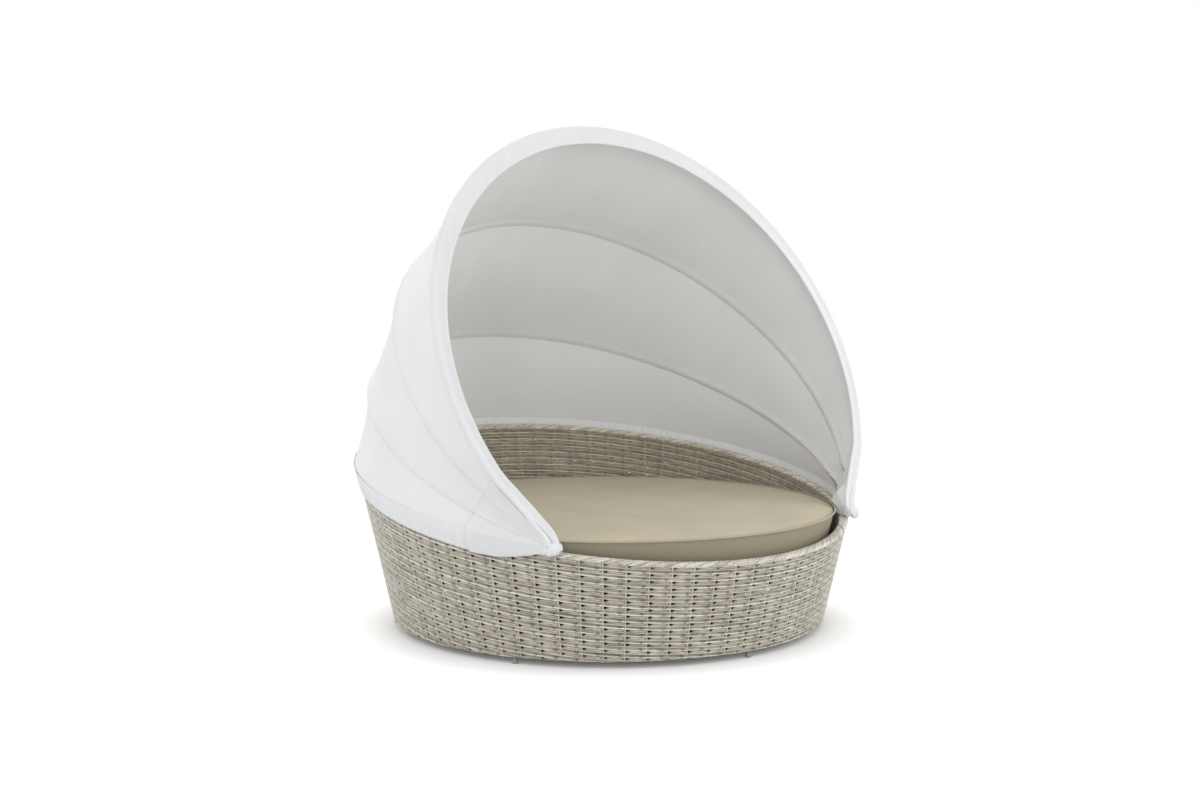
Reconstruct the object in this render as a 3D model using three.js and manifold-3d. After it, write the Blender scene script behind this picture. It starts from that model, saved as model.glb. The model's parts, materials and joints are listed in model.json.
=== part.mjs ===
// Round outdoor daybed with a folding canopy, in millimetres, +Z up.
// The origin is on the base's axis at floor level, the open front faces -Y.
import * as THREE from 'three';
import { mergeVertices } from 'three/addons/utils/BufferGeometryUtils.js';
import Module from 'manifold-3d';

const wasm = await Module();
wasm.setup();

// Driving sizes of the woven base: a cone cut by a sloping rim plane
const rimRadius = 900;            // on the base's axis level of the rim
const rimHeight = 489;            // of the rim plane over the base's axis
const rimTilt = 9.7;              // degrees, low in front and high at the back
const footRadius = 792;           // at the lower edge of the weave
const weaveClearance = 20;        // from the floor to the lower edge of the weave
const weaveSkin = 5;              // thickness of each woven skin
const rimEase = 8;                // corner of the braided border
const borderDepth = 30;           // of the braided border below the rim plane

// Driving sizes of the frame
const fitGap = 0.3;               // clearance between pieces that touch
const frameTubeRadius = 12;
const uprightCount = 6;
const seatHeight = 285;           // top of the deck, where the cushion lies
const deckRingWidth = 25;
const deckRingDepth = 20;
const beamWidth = 40;
const beamDepth = 30;
const beamSpread = 400;           // from the base's axis to each outer beam
const slatCount = 9;
const slatWidth = 110;
const slatThickness = 14;
const slatPitch = 155;
const slatEndClearance = 4;       // from a slat's corner to the inner skin
const legRadius = 20;
const footPadRadius = 32;
const footPadHeight = 16;
const footEase = 2;               // of the foot's and the glides' edges
const glideCount = 6;
const glideRadius = 11;
const glideHeight = 14;
const glideNeckRadius = 6;

// Driving sizes of the cushion
const cushionClearance = 18.25;   // between the cushion's piping and the woven wall
const cushionThickness = 139;     // at the piping
const cushionCrown = 12;
const cushionDrawIn = 6;          // how far the band stands in beside the piping
const cushionBulge = 5;           // how far the band swells at mid height
const pipingRadius = 3.5;
const cushionEase = 16;           // roll of the top panel beside the piping
const pipingArcShares = [-0.35, 0.5];   // of a half turn that the piping stands free
const crownFullness = 0.7;        // power of the crown's curve: lower is flatter and fuller

// Driving sizes of the canopy. Each bow lies in a plane through the pivot axis and carries
// the cloth on its outside: overhang is how far the cloth's half width passes the rim's
// radius, centre and rise measure the cloth's ellipse along the bow's plane from the axis.
const pivotTurn = 42.34;          // degrees round the rim, from the base's side to a pivot
const pivotLift = 16.36;          // of the pivot axis over the rim plane
const bowRadius = 6;
const canopyBows = {
  front: { lean: 26.4, overhang: 5, rise: 935, centre: 640, layer: 1 },
  mid: { lean: 46.5, overhang: -4, rise: 918, centre: 650, layer: 0 },
  back: { lean: 66.6, overhang: -16, rise: 948, centre: 647, layer: -1 },
};
const clothThickness = 2;
const clothEase = 1;              // of the cloth over a bow
const strapThickness = 3;         // of a bow's flattened end
const strapWidth = 16;
const strapLength = 165;          // from the pivot axis along the bow's plane
const strapTaper = 40;            // length in which the tube turns flat
const strapSquareness = 4;        // power of the flattened end's corners
const nestLength = 260;           // up to here the bows' ends lie close together
const eyeRadius = 11;
const eyeFlat = 13;               // flat length of the strap above the pivot axis
const eyeBend = 28;               // length in which the strap bends out to the bow
const washerThickness = 1.6;
const washerRadius = 9;
const boltRadius = 4;
const boltHeadRadius = 8;
const boltHeadThickness = 5;
const boltThreadEnd = 8;          // of the bolt inside the cap nut
const nutWall = 3;                // of the cap nut over the end of the bolt
const bracketThickness = 5;
const bracketHeadRadius = 13;
const bracketFootFront = 18;      // of the bracket's foot behind the pivot axis
const bracketFootBack = 42;
const bracketInset = 3.63;        // of the bracket's cheek inside the rim tube's middle
const saddleWall = 4;
const saddleLength = 46;
const hingeCover = 3;             // of the cloth outside the cap nuts
const hingeCoverLength = 60;      // over which the cloth comes back to the weave
const clothStart = 46;            // the cloth starts this far from the pivot axis
const clothLift = 17;             // of the cloth outside the nested straps
const clothSag = 13;              // how far the taut cloth is drawn in between two bows
const hemHeight = 25;             // of the hem's stitch line over the rim plane
const hemDrop = 50;               // of the hem's lower edge under the rim plane
const hemFrontDrop = 26;          // the same beside the pivots
const hemStandOff = 7;            // of the hem outside the weave
const hemGrip = 0.8;              // of the hem's lower edge outside the weave
const hemOverrun = 0.16;          // degrees that the hem runs past the pivots
const hemGathers = 37;            // in the elastic hem
const hemGatherDepth = 1.6;
const lipCrownWidth = 76;         // of the front sleeve at the crown
const lipSideWidth = 42;          // of the front sleeve at the sides
const lipEdge = 3;                // half thickness of the sleeve's inner edge
const lipStart = 240;             // the sleeve starts this far from the pivot axis
const foldDepth = 6;              // of the main folds that cross the panels
const foldWidthShare = 0.011;     // of the panels' length
const frontFoldShares = [0.325, 0.388, 0.461, 0.549];
const midFoldShares = [0.399, 0.447, 0.5, 0.559];
const patchStart = 35;            // the corner patches start this far from the pivot axis
const patchShare = 0.062;         // share of the panels' length under each patch
const patchDepthShare = 0.94;     // share of the mid panel's width that a patch covers
const patchThickness = 1.5;
const patchGap = 2.1;             // from the panels to the patch sewn over them

// Faceting
const ringSteps = 60;
const tubeSides = 8;
const smallSides = 12;
const cushionSteps = 48;
const archSteps = 30;             // of a bow between its tapers
const panelSteps = 61;            // of the cloth along the bows
const panelRows = 4;              // of the cloth from bow to bow
const hemSteps = 111;
const lipSteps = 40;
const patchSteps = 8;
const patchRows = 2;              // over each panel

const rad = THREE.MathUtils.degToRad;
const lerp = THREE.MathUtils.lerp;
const smooth = (value, low, high) => THREE.MathUtils.smoothstep(value, low, high);
const turnFull = 2 * Math.PI;

// Colours and finishes
const cane = new THREE.Color(0.60, 0.54, 0.43);
const caneShade = new THREE.Color(0.52, 0.46, 0.36);
const taupe = new THREE.Color(0.44, 0.39, 0.29);
const canvasWhite = new THREE.Color(0.86, 0.87, 0.88);
const aluminium = new THREE.Color(0.72, 0.73, 0.74);
const coatedFrame = new THREE.Color(0.42, 0.40, 0.36);
const black = new THREE.Color(0.05, 0.05, 0.05);

const finish = (color, roughness, metalness) =>
  new THREE.MeshStandardMaterial({ color, roughness, metalness });

const daybed = new THREE.Group();

/** Adds one named piece to a group. */
function addPiece(name, geometry, material, group = daybed) {
  const mesh = new THREE.Mesh(geometry, material);
  mesh.name = name;
  group.add(mesh);
  return mesh;
}

/** Builds a geometry from a list of points and triangles, with its faces turned outward. */
function closedGeometry(points, triangles) {
  let volume = 0;
  const edge = new THREE.Vector3();
  for (const [a, b, c] of triangles) {
    volume += points[a].dot(edge.crossVectors(points[b], points[c]));
  }
  const geometry = new THREE.BufferGeometry();
  geometry.setAttribute('position', new THREE.Float32BufferAttribute(
    points.flatMap((point) => point.toArray()), 3));
  geometry.setIndex(triangles.flatMap(([a, b, c]) => (volume > 0 ? [a, b, c] : [a, c, b])));
  geometry.computeVertexNormals();
  return geometry;
}

/** Sweeps a closed section round a closed ring: spot(turn, corner) gives each point. */
function ringSweep(steps, corners, spot) {
  const points = [];
  const triangles = [];
  for (let i = 0; i < steps; i += 1) {
    for (let j = 0; j < corners; j += 1) {
      points.push(spot((i / steps) * turnFull, j));
      const a = i * corners + j;
      const b = i * corners + ((j + 1) % corners);
      const c = ((i + 1) % steps) * corners + ((j + 1) % corners);
      const d = ((i + 1) % steps) * corners + j;
      triangles.push([a, b, c], [a, c, d]);
    }
  }
  return closedGeometry(points, triangles);
}

/** Sweeps a closed section along an open path; outline holds its corners in their own plane. */
function pathSweep(steps, outline, spot) {
  const corners = outline.length;
  const points = [];
  const triangles = [];
  for (let i = 0; i <= steps; i += 1) {
    for (let j = 0; j < corners; j += 1) {
      points.push(spot(i, j));
      if (i === steps) continue;
      const a = i * corners + j;
      const b = i * corners + ((j + 1) % corners);
      triangles.push([a, b, b + corners], [a, b + corners, a + corners]);
    }
  }
  const flat = outline.map(([x, y]) => new THREE.Vector2(x, y));
  const turnsLeft = THREE.ShapeUtils.isClockWise(flat) ? -1 : 1;
  const last = steps * corners;
  for (const [a, b, c] of THREE.ShapeUtils.triangulateShape(flat, [])) {
    const along = new THREE.Vector2().subVectors(flat[b], flat[a])
      .cross(new THREE.Vector2().subVectors(flat[c], flat[a])) * turnsLeft;
    const [p, q] = along > 0 ? [b, c] : [c, b];
    triangles.push([a, q, p], [last + a, last + p, last + q]);
  }
  return closedGeometry(points, triangles);
}

/** Makes a thin closed sheet between an outer and an inner surface of shares along and across. */
function sheetGeometry(along, across, outer, inner) {
  const points = [];
  const triangles = [];
  const row = across + 1;
  const side = (along + 1) * row;
  for (const surface of [outer, inner]) {
    for (let i = 0; i <= along; i += 1) {
      for (let j = 0; j <= across; j += 1) points.push(surface(i / along, j / across));
    }
  }
  for (let i = 0; i < along; i += 1) {
    for (let j = 0; j < across; j += 1) {
      const a = i * row + j;
      const [b, c, d] = [a + 1, a + row + 1, a + row];
      triangles.push([a, b, c], [a, c, d]);
      triangles.push([a + side, c + side, b + side], [a + side, d + side, c + side]);
    }
  }
  const border = [];
  for (let i = 0; i < along; i += 1) border.push(i * row);
  for (let j = 0; j < across; j += 1) border.push(along * row + j);
  for (let i = along; i > 0; i -= 1) border.push(i * row + across);
  for (let j = across; j > 0; j -= 1) border.push(j);
  border.forEach((a, k) => {
    const b = border[(k + 1) % border.length];
    triangles.push([a, b, b + side], [a, b + side, a + side]);
  });
  return closedGeometry(points, triangles.map(([a, b, c]) => [a, c, b]));
}

/** Turns a geometry into a solid that can be joined and cut. */
function solidOf(geometry) {
  const bare = geometry.clone();
  bare.deleteAttribute('normal');
  bare.deleteAttribute('uv');
  const merged = mergeVertices(bare);
  return new wasm.Manifold(new wasm.Mesh({
    numProp: 3,
    vertProperties: new Float32Array(merged.attributes.position.array),
    triVerts: new Uint32Array(merged.index.array),
  }));
}

/** Turns a solid back into a geometry. */
function geometryOf(solid) {
  const mesh = solid.getMesh();
  const geometry = new THREE.BufferGeometry();
  geometry.setAttribute('position', new THREE.Float32BufferAttribute(mesh.vertProperties, 3));
  geometry.setIndex(Array.from(mesh.triVerts));
  geometry.computeVertexNormals();
  return geometry;
}

const join = (...geometries) => geometryOf(
  geometries.map(solidOf).reduce((whole, part) => whole.add(part)));
const cut = (geometry, ...cutters) => geometryOf(
  cutters.map(solidOf).reduce((whole, part) => whole.subtract(part), solidOf(geometry)));

/** A cylinder from one point to another. */
function rodBetween(from, to, radius, sides = smallSides) {
  const axis = new THREE.Vector3().subVectors(to, from);
  const geometry = new THREE.CylinderGeometry(radius, radius, axis.length(), sides);
  geometry.applyQuaternion(new THREE.Quaternion().setFromUnitVectors(
    new THREE.Vector3(0, 1, 0), axis.clone().normalize()));
  const middle = new THREE.Vector3().addVectors(from, to).multiplyScalar(0.5);
  return geometry.translate(middle.x, middle.y, middle.z);
}

/** A box from its centre and sizes. */
const boxAt = (x, y, z, width, depth, height) =>
  new THREE.BoxGeometry(width, depth, height).translate(x, y, z);

/** A turned piece on the Z axis from a profile of [radius, height] points. */
function turned(profile, sides = smallSides) {
  const points = profile.map(([r, z]) => new THREE.Vector2(r, z));
  return new THREE.LatheGeometry(points, sides).rotateX(Math.PI / 2);
}

// The base's cone and the rim plane that cuts it
const rimSlope = Math.tan(rad(rimTilt));
const wallFlare = (rimRadius - footRadius) / (rimHeight - weaveClearance);
const wallRadius = (height) => footRadius + wallFlare * (height - weaveClearance);

/** The point beside the rim at a turn about Z, so far inside the weave and under the rim plane. */
function rimSpot(turn, inset, drop) {
  const level = wallRadius(rimHeight - drop) - inset;
  const radius = level / (1 - wallFlare * rimSlope * Math.sin(turn));
  return new THREE.Vector3(
    radius * Math.cos(turn),
    radius * Math.sin(turn),
    rimHeight - drop + rimSlope * radius * Math.sin(turn),
  );
}

/** The point of the base at a turn about Z and a height, so far inside the weave. */
function wallSpot(turn, inset, height) {
  const radius = wallRadius(height) - inset;
  return new THREE.Vector3(radius * Math.cos(turn), radius * Math.sin(turn), height);
}

/** The corners of a tube's section, with flats level and upright. */
function tubeSection(radius) {
  return Array.from({ length: tubeSides }, (_, k) => {
    const turn = ((k + 0.5) / tubeSides) * turnFull;
    return [radius * Math.cos(turn), radius * Math.sin(turn)];
  });
}

const tubeFlat = frameTubeRadius * Math.cos(Math.PI / tubeSides);
const tubeInset = weaveSkin + fitGap + tubeFlat;
const innerFaceInset = tubeInset + tubeFlat + fitGap;
const wallThickness = innerFaceInset + weaveSkin;
const rimTubeDrop = weaveSkin + fitGap + tubeFlat;
const bottomTubeHeight = weaveClearance + weaveSkin + fitGap + tubeFlat;

/** A ring of frame tube under the rim, thicker by grow. */
function rimTubeRing(grow = 0) {
  const section = tubeSection(frameTubeRadius + grow);
  return ringSweep(ringSteps, tubeSides, (turn, j) =>
    rimSpot(turn, tubeInset + section[j][0], rimTubeDrop - section[j][1]));
}

/** The ring of frame tube at the foot of the weave, thicker by grow. */
function bottomTubeRing(grow = 0) {
  const section = tubeSection(frameTubeRadius + grow);
  return ringSweep(ringSteps, tubeSides, (turn, j) =>
    wallSpot(turn, tubeInset + section[j][0], bottomTubeHeight - section[j][1]));
}

// The pivots of the canopy
const pivotSpot = rimSpot(-rad(pivotTurn), 0, -pivotLift);
const pivotY = pivotSpot.y;
const pivotHeight = pivotSpot.z;
const clothInset = bowRadius + clothEase + clothThickness;   // from the cloth to a bow's centre line
const strapPitch = strapThickness + washerThickness + 2 * fitGap;
const nestHeightEased = (height) => {
  const bendEnd = eyeFlat + 2 * eyeBend;
  if (height < eyeFlat) return (eyeFlat + bendEnd) / 2;
  if (height > bendEnd) return height;
  return (eyeFlat + bendEnd) / 2 + (height - eyeFlat) ** 2 / (2 * (bendEnd - eyeFlat));
};

/** How far an ellipse reaches sideways at a height along a bow's plane. */
function ellipseReach(bow, height, outset) {
  const share = Math.min(1, Math.abs(height - bow.centre) / (bow.rise + outset));
  return (rimRadius + bow.overhang + outset) * Math.sqrt(1 - share ** 2);
}

const bracketTurn = Math.asin((pivotY + (bracketFootFront + bracketFootBack) / 2)
  / (wallRadius(pivotHeight) - tubeInset));
const bracketMiddle = rimSpot(bracketTurn, tubeInset, rimTubeDrop).x - bracketInset;
const pivotReach = bracketMiddle + bracketThickness / 2 + strapThickness / 2
  + washerThickness + 2 * fitGap + strapPitch;

/** How far the bows' nested ends reach sideways near the pivots. */
const nestReach = (height) => pivotReach
  + ellipseReach(canopyBows.mid, nestHeightEased(height), -clothInset)
  - ellipseReach(canopyBows.mid, nestHeightEased(0), -clothInset);

/** Blends a bow's own reach into the nest of flattened ends, shifted sideways by side. */
function bowReach(bow, height, outset, side) {
  const own = ellipseReach(bow, height, outset);
  const share = smooth(height, strapLength, nestLength);
  return height < nestLength ? lerp(nestReach(height) + side, own, share) : own;
}

/** A turn of a bow's ellipse, from the right end at share 0 to the left end at share 1. */
function bowTurn(bow, outset, start, share) {
  const first = Math.asin((start - bow.centre) / (bow.rise + outset));
  return lerp(first, Math.PI - first, share);
}

/** Sideways reach and height of a bow's line at a share of its length. */
function bowSpot(bow, outset, side, start, share) {
  const turn = bowTurn(bow, outset, start, share);
  const height = bow.centre + (bow.rise + outset) * Math.sin(turn);
  return { across: Math.sign(Math.cos(turn)) * bowReach(bow, height, outset, side), height };
}

/** Places a reach and height on a plane through the pivot axis that leans back by so much. */
function onPlane(across, height, lean, forward = 0) {
  const turn = rad(lean);
  return new THREE.Vector3(
    across,
    pivotY + height * Math.sin(turn) - forward * Math.cos(turn),
    pivotHeight + height * Math.cos(turn) + forward * Math.sin(turn),
  );
}

// Where the pivot hardware lies along the pivot axis, from the middle outward
const stackInner = pivotReach - strapPitch - strapThickness / 2;
const bracketOuter = stackInner - washerThickness - 2 * fitGap;
const bracketInner = bracketOuter - bracketThickness;
const stackOuter = pivotReach + strapPitch + strapThickness / 2;
const nutInner = stackOuter + washerThickness + 2 * fitGap;
const nutOuter = nutInner + boltThreadEnd + nutWall;

/** The saddle that a bracket stands on, over the top of the rim tube. */
function saddleGeometry(turn, grow) {
  const radius = frameTubeRadius + fitGap + saddleWall + grow;
  const wide = radius * Math.cos(Math.PI / tubeSides);
  const narrow = radius * Math.sin(Math.PI / tubeSides);
  const low = frameTubeRadius * Math.sin(Math.PI / tubeSides) - grow;
  const outline = [
    [wide, low], [wide, narrow], [narrow, wide], [-narrow, wide], [-wide, narrow], [-wide, low],
  ];
  const reach = (saddleLength / 2 + grow) / rimRadius;
  return pathSweep(2, outline, (i, j) => rimSpot(turn + (i - 1) * reach,
    tubeInset - outline[j][0], rimTubeDrop - outline[j][1]));
}

/** The bracket of one side: a cheek at the pivot on a saddle over the rim tube. */
function bracketGeometry(side, grow = 0) {
  const turn = side > 0 ? bracketTurn : Math.PI - bracketTurn;
  const centre = rimSpot(turn, tubeInset, rimTubeDrop);
  const headRadius = bracketHeadRadius + grow;
  const footFront = pivotY + bracketFootFront - grow;
  const footBack = pivotY + bracketFootBack + grow;
  const footLow = centre.z + frameTubeRadius * Math.sin(Math.PI / tubeSides);
  const cheek = new THREE.Shape();
  cheek.absarc(pivotY, pivotHeight, headRadius, Math.PI / 4, 3 * Math.PI / 2, false);
  cheek.lineTo(footFront, pivotHeight - headRadius);
  cheek.lineTo(footFront, footLow);
  cheek.lineTo(footBack, footLow);
  cheek.lineTo(footBack, centre.z + frameTubeRadius + saddleWall);
  const plate = new THREE.ExtrudeGeometry(cheek, {
    depth: bracketThickness + 2 * grow, bevelEnabled: false, curveSegments: smallSides,
  });
  plate.applyMatrix4(new THREE.Matrix4().makeBasis(
    new THREE.Vector3(0, 1, 0), new THREE.Vector3(0, 0, 1), new THREE.Vector3(1, 0, 0)));
  const inner = side > 0 ? bracketInner : -bracketOuter;
  return join(saddleGeometry(turn, grow), plate.translate(inner - grow, 0, 0));
}

/** A point on the pivot axis of one side. */
const onPivot = (side, reach) => new THREE.Vector3(side * reach, pivotY, pivotHeight);

// Woven base
const rimBorderSection = [
  [0, borderDepth], [0, rimEase], [rimEase, 0], [wallThickness - rimEase, 0],
  [wallThickness, rimEase], [wallThickness, borderDepth],
];
const channelSection = tubeSection(frameTubeRadius + fitGap)
  .filter(([, up]) => up > 0)
  .map(([out, up]) => [tubeInset + out, rimTubeDrop - up]);
const borderInner = [
  [channelSection[0][0], borderDepth], ...channelSection, [channelSection.at(-1)[0], borderDepth],
];

/** The braided border along the rim: a channel over the rim tube, open where a bracket passes. */
function rimBorder() {
  const section = [...rimBorderSection, ...borderInner];
  const channel = ringSweep(ringSteps, section.length, (turn, j) =>
    rimSpot(turn, section[j][0], section[j][1]));
  return cut(channel, bracketGeometry(1, fitGap), bracketGeometry(-1, fitGap));
}

/** The outer woven skin, turned in under the bottom ring, with a hole for each glide. */
function outerSkin() {
  const seam = borderDepth + fitGap;
  const turnIn = tubeInset + tubeFlat;
  const corners = [
    (turn) => wallSpot(turn, 0, weaveClearance),
    (turn) => rimSpot(turn, 0, seam),
    (turn) => rimSpot(turn, weaveSkin, seam),
    (turn) => wallSpot(turn, weaveSkin, weaveClearance + weaveSkin),
    (turn) => wallSpot(turn, turnIn, weaveClearance + weaveSkin),
    (turn) => wallSpot(turn, turnIn, weaveClearance),
  ];
  const skin = ringSweep(ringSteps, corners.length, (turn, j) => corners[j](turn));
  const holes = glideTurns.map((turn) => {
    const spot = wallSpot(turn, tubeInset, bottomTubeHeight);
    const low = spot.clone().setZ(weaveClearance - weaveSkin);
    return rodBetween(low, spot, glideNeckRadius + 2 * fitGap, smallSides);
  });
  return cut(skin, ...holes);
}

/** The inner woven skin, from the deck ring up to the border. */
function innerSkin() {
  const foot = seatHeight - slatThickness;
  const seam = borderDepth + fitGap;
  const corners = [
    (turn) => wallSpot(turn, innerFaceInset, foot),
    (turn) => rimSpot(turn, innerFaceInset, seam),
    (turn) => rimSpot(turn, wallThickness, seam),
    (turn) => wallSpot(turn, wallThickness, foot),
  ];
  return ringSweep(ringSteps, corners.length, (turn, j) => corners[j](turn));
}

const glideTurns = Array.from({ length: glideCount }, (_, k) => ((k + 0.5) / glideCount) * turnFull);
const weave = finish(cane, 0.65, 0);
addPiece('woven_outer_skin', outerSkin(), weave);
addPiece('woven_inner_skin', innerSkin(), finish(caneShade, 0.65, 0));
addPiece('woven_rim_border', rimBorder(), finish(cane, 0.6, 0));

// Frame
const frameFinish = finish(coatedFrame, 0.45, 0.6);
addPiece('frame_rim_tube', rimTubeRing(), frameFinish);
addPiece('frame_bottom_ring', bottomTubeRing(), frameFinish);
const deckRingTop = seatHeight - slatThickness - fitGap;
const deckRingLow = deckRingTop - deckRingDepth;
const deckRingOuter = wallRadius(deckRingLow) - innerFaceInset;
const deckRingInner = deckRingOuter - deckRingWidth;

/** The flat ring that carries the beams and slats. */
function deckRing() {
  const corners = [
    [deckRingOuter, deckRingLow], [deckRingOuter, deckRingTop],
    [deckRingInner, deckRingTop], [deckRingInner, deckRingLow],
  ];
  return ringSweep(ringSteps, corners.length, (turn, j) => {
    const [radius, height] = corners[j];
    return new THREE.Vector3(radius * Math.cos(turn), radius * Math.sin(turn), height);
  });
}
addPiece('frame_deck_ring', deckRing(), frameFinish);

/** An upright between the rings, its ends shaped to the tubes that it meets. */
function upright(turn, cutters) {
  const low = wallSpot(turn, tubeInset, bottomTubeHeight);
  const high = rimSpot(turn, tubeInset, rimTubeDrop);
  const post = rodBetween(low, high, tubeFlat - fitGap, tubeSides);
  return cut(post, ...cutters);
}
const uprightCutters = [rimTubeRing(fitGap), bottomTubeRing(fitGap), deckRing()];
for (let k = 0; k < uprightCount; k += 1) {
  const turn = ((k + 0.5) / uprightCount) * turnFull;
  addPiece(`frame_upright_${k + 1}`, upright(turn, uprightCutters), frameFinish);
}

// Deck
const beamLow = deckRingTop - beamDepth;
const ringBore = turned([
  [0, beamLow - beamDepth], [deckRingInner - fitGap, beamLow - beamDepth],
  [deckRingInner - fitGap, deckRingTop + beamDepth], [0, deckRingTop + beamDepth],
], ringSteps);

/** A beam under the slats, its ends rounded to the deck ring. */
function deckBeam(x) {
  const bar = boxAt(x, 0, (beamLow + deckRingTop) / 2, beamWidth, 2 * footRadius, beamDepth);
  return geometryOf(solidOf(bar).intersect(solidOf(ringBore)));
}
['left', 'centre', 'right'].forEach((name, k) => {
  addPiece(`deck_beam_${name}`, deckBeam((k - 1) * beamSpread), frameFinish);
});

/** A slat across the deck, as long as the inner skin lets it be. */
function deckSlat(y) {
  const corner = Math.abs(y) + slatWidth / 2;
  const room = wallRadius(seatHeight - slatThickness) - wallThickness - slatEndClearance;
  const length = 2 * Math.sqrt(room ** 2 - corner ** 2);
  return boxAt(0, y, seatHeight - slatThickness / 2, length, slatWidth, slatThickness);
}
const slatFinish = finish(aluminium, 0.5, 0.7);
for (let k = 0; k < slatCount; k += 1) {
  const y = (k - (slatCount - 1) / 2) * slatPitch;
  addPiece(`deck_slat_${k + 1}`, deckSlat(y), slatFinish);
}

// Centre leg and floor glides
const plastic = finish(black, 0.6, 0);
addPiece('centre_leg', rodBetween(
  new THREE.Vector3(0, 0, footPadHeight + fitGap),
  new THREE.Vector3(0, 0, beamLow - fitGap), legRadius), frameFinish);
addPiece('centre_foot', turned([
  [0, 0], [footPadRadius - footEase, 0], [footPadRadius, footEase],
  [footPadRadius, footPadHeight - footEase], [footPadRadius - footEase, footPadHeight],
  [0, footPadHeight],
]), plastic);
const glideProfile = [
  [0, 0], [glideRadius - footEase, 0], [glideRadius, footEase],
  [glideRadius, glideHeight - footEase], [glideRadius - footEase, glideHeight],
  [glideNeckRadius, glideHeight],
  [glideNeckRadius, bottomTubeHeight - tubeFlat - fitGap],
  [0, bottomTubeHeight - tubeFlat - fitGap],
];
glideTurns.forEach((turn, k) => {
  const spot = wallSpot(turn, tubeInset, bottomTubeHeight);
  addPiece(`floor_glide_${k + 1}`, turned(glideProfile, tubeSides), plastic)
    .position.set(spot.x, spot.y, 0);
});

// Cushion

const cushionRadius = wallRadius(seatHeight) - wallThickness - cushionClearance;

/** The round cushion: crowned panels, piping at both edges and a band that swells between. */
function cushion() {
  const bottom = seatHeight + fitGap;
  const middle = cushionThickness / 2;
  const bandRadius = cushionRadius - cushionDrawIn;
  const arc = (from, to, steps, spot) => Array.from({ length: steps + 1 }, (_, k) =>
    spot(lerp(from, to, k / steps)));
  const half = [
    ...arc(0, 1, 2, (share) => [
      bandRadius + cushionBulge * Math.sqrt(1 - share ** 2), share * (middle - 2 * pipingRadius)]),
    ...arc(...pipingArcShares, 3, (share) => [
      cushionRadius - pipingRadius + pipingRadius * Math.cos(share * Math.PI),
      middle - pipingRadius + pipingRadius * Math.sin(share * Math.PI)]),
  ];
  const lowerHalf = half.slice(1).map(([r, up]) => [r, bottom + middle - up]).reverse();
  const upperHalf = half.map(([r, up]) => [r, bottom + middle + up]);
  const crownRadius = cushionRadius - pipingRadius - cushionEase;
  const crown = arc(1, 0, 4, (share) => [
    crownRadius * share,
    bottom + cushionThickness - pipingRadius / 2 + cushionCrown * (1 - share ** 2) ** crownFullness]);
  return turned([[0, bottom], ...lowerHalf, ...upperHalf, ...crown], cushionSteps);
}
addPiece('seat_cushion', cushion(), finish(taupe, 0.9, 0));

// Canopy bows

/** The section of a bow: a round tube that turns into a flat strap near the pivots. */
function bowSection(height) {
  const share = smooth(height, strapLength, strapLength + strapTaper);
  const thick = lerp(strapThickness / 2, bowRadius, share);
  const wide = lerp(strapWidth / 2, bowRadius, share);
  const square = lerp(strapSquareness, 1, share);
  return Array.from({ length: tubeSides }, (_, k) => {
    const turn = ((k + 0.5) / tubeSides) * turnFull;
    const reach = (value) => Math.sign(value) * Math.abs(value) ** (1 / square);
    return [thick * reach(Math.cos(turn)), wide * reach(Math.sin(turn))];
  });
}

/** The shares of a bow's length at which its sections stand, closer together at the ends. */
function bowStations(bow) {
  const first = Math.asin(-bow.centre / (bow.rise - clothInset));
  const shareAt = (height) => {
    const turn = Math.asin((height - bow.centre) / (bow.rise - clothInset));
    return (turn - first) / (Math.PI - 2 * first);
  };
  const bendEnd = eyeFlat + 2 * eyeBend;
  const flat = [0, eyeFlat, eyeFlat + eyeBend / 2, eyeFlat + eyeBend, bendEnd,
    (bendEnd + strapLength) / 2, strapLength, strapLength + strapTaper / 2,
    strapLength + strapTaper];
  const ends = flat.map(shareAt);
  const last = ends.at(-1);
  const arch = Array.from({ length: archSteps - 1 }, (_, k) =>
    lerp(last, 1 - last, (k + 1) / archSteps));
  return [...ends, ...arch, ...ends.map((share) => 1 - share).reverse()];
}

/** One bow: a tube bent to its ellipse, with flattened ends and an eye at each pivot. */
function bowGeometry(bow) {
  const side = bow.layer * strapPitch;
  const stations = bowStations(bow);
  const line = stations.map((share) => bowSpot(bow, -clothInset, side, 0, share));
  const tube = pathSweep(line.length - 1, bowSection(0), (i, j) => {
    const before = line[Math.max(0, i - 1)];
    const after = line[Math.min(line.length - 1, i + 1)];
    const length = Math.hypot(after.across - before.across, after.height - before.height);
    const upright = i === 0 || i === line.length - 1;
    const out = upright ? Math.sign(line[i].across) : (after.height - before.height) / length;
    const up = upright ? 0 : -(after.across - before.across) / length;
    const [thick, wide] = bowSection(line[i].height)[j];
    return onPlane(line[i].across + thick * out, line[i].height + thick * up, bow.lean, wide);
  });
  const eyes = [-1, 1].map((end) => rodBetween(
    onPivot(end, pivotReach + side - strapThickness / 2),
    onPivot(end, pivotReach + side + strapThickness / 2), eyeRadius, 2 * smallSides));
  const bores = [-1, 1].map((end) => rodBetween(
    onPivot(end, bracketInner), onPivot(end, nutInner), boltRadius + fitGap));
  return cut(join(tube, ...eyes), ...bores);
}
const bowFinish = finish(aluminium, 0.35, 0.8);
for (const [name, bow] of Object.entries(canopyBows)) {
  addPiece(`canopy_bow_${name}`, bowGeometry(bow), bowFinish);
}

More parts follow.
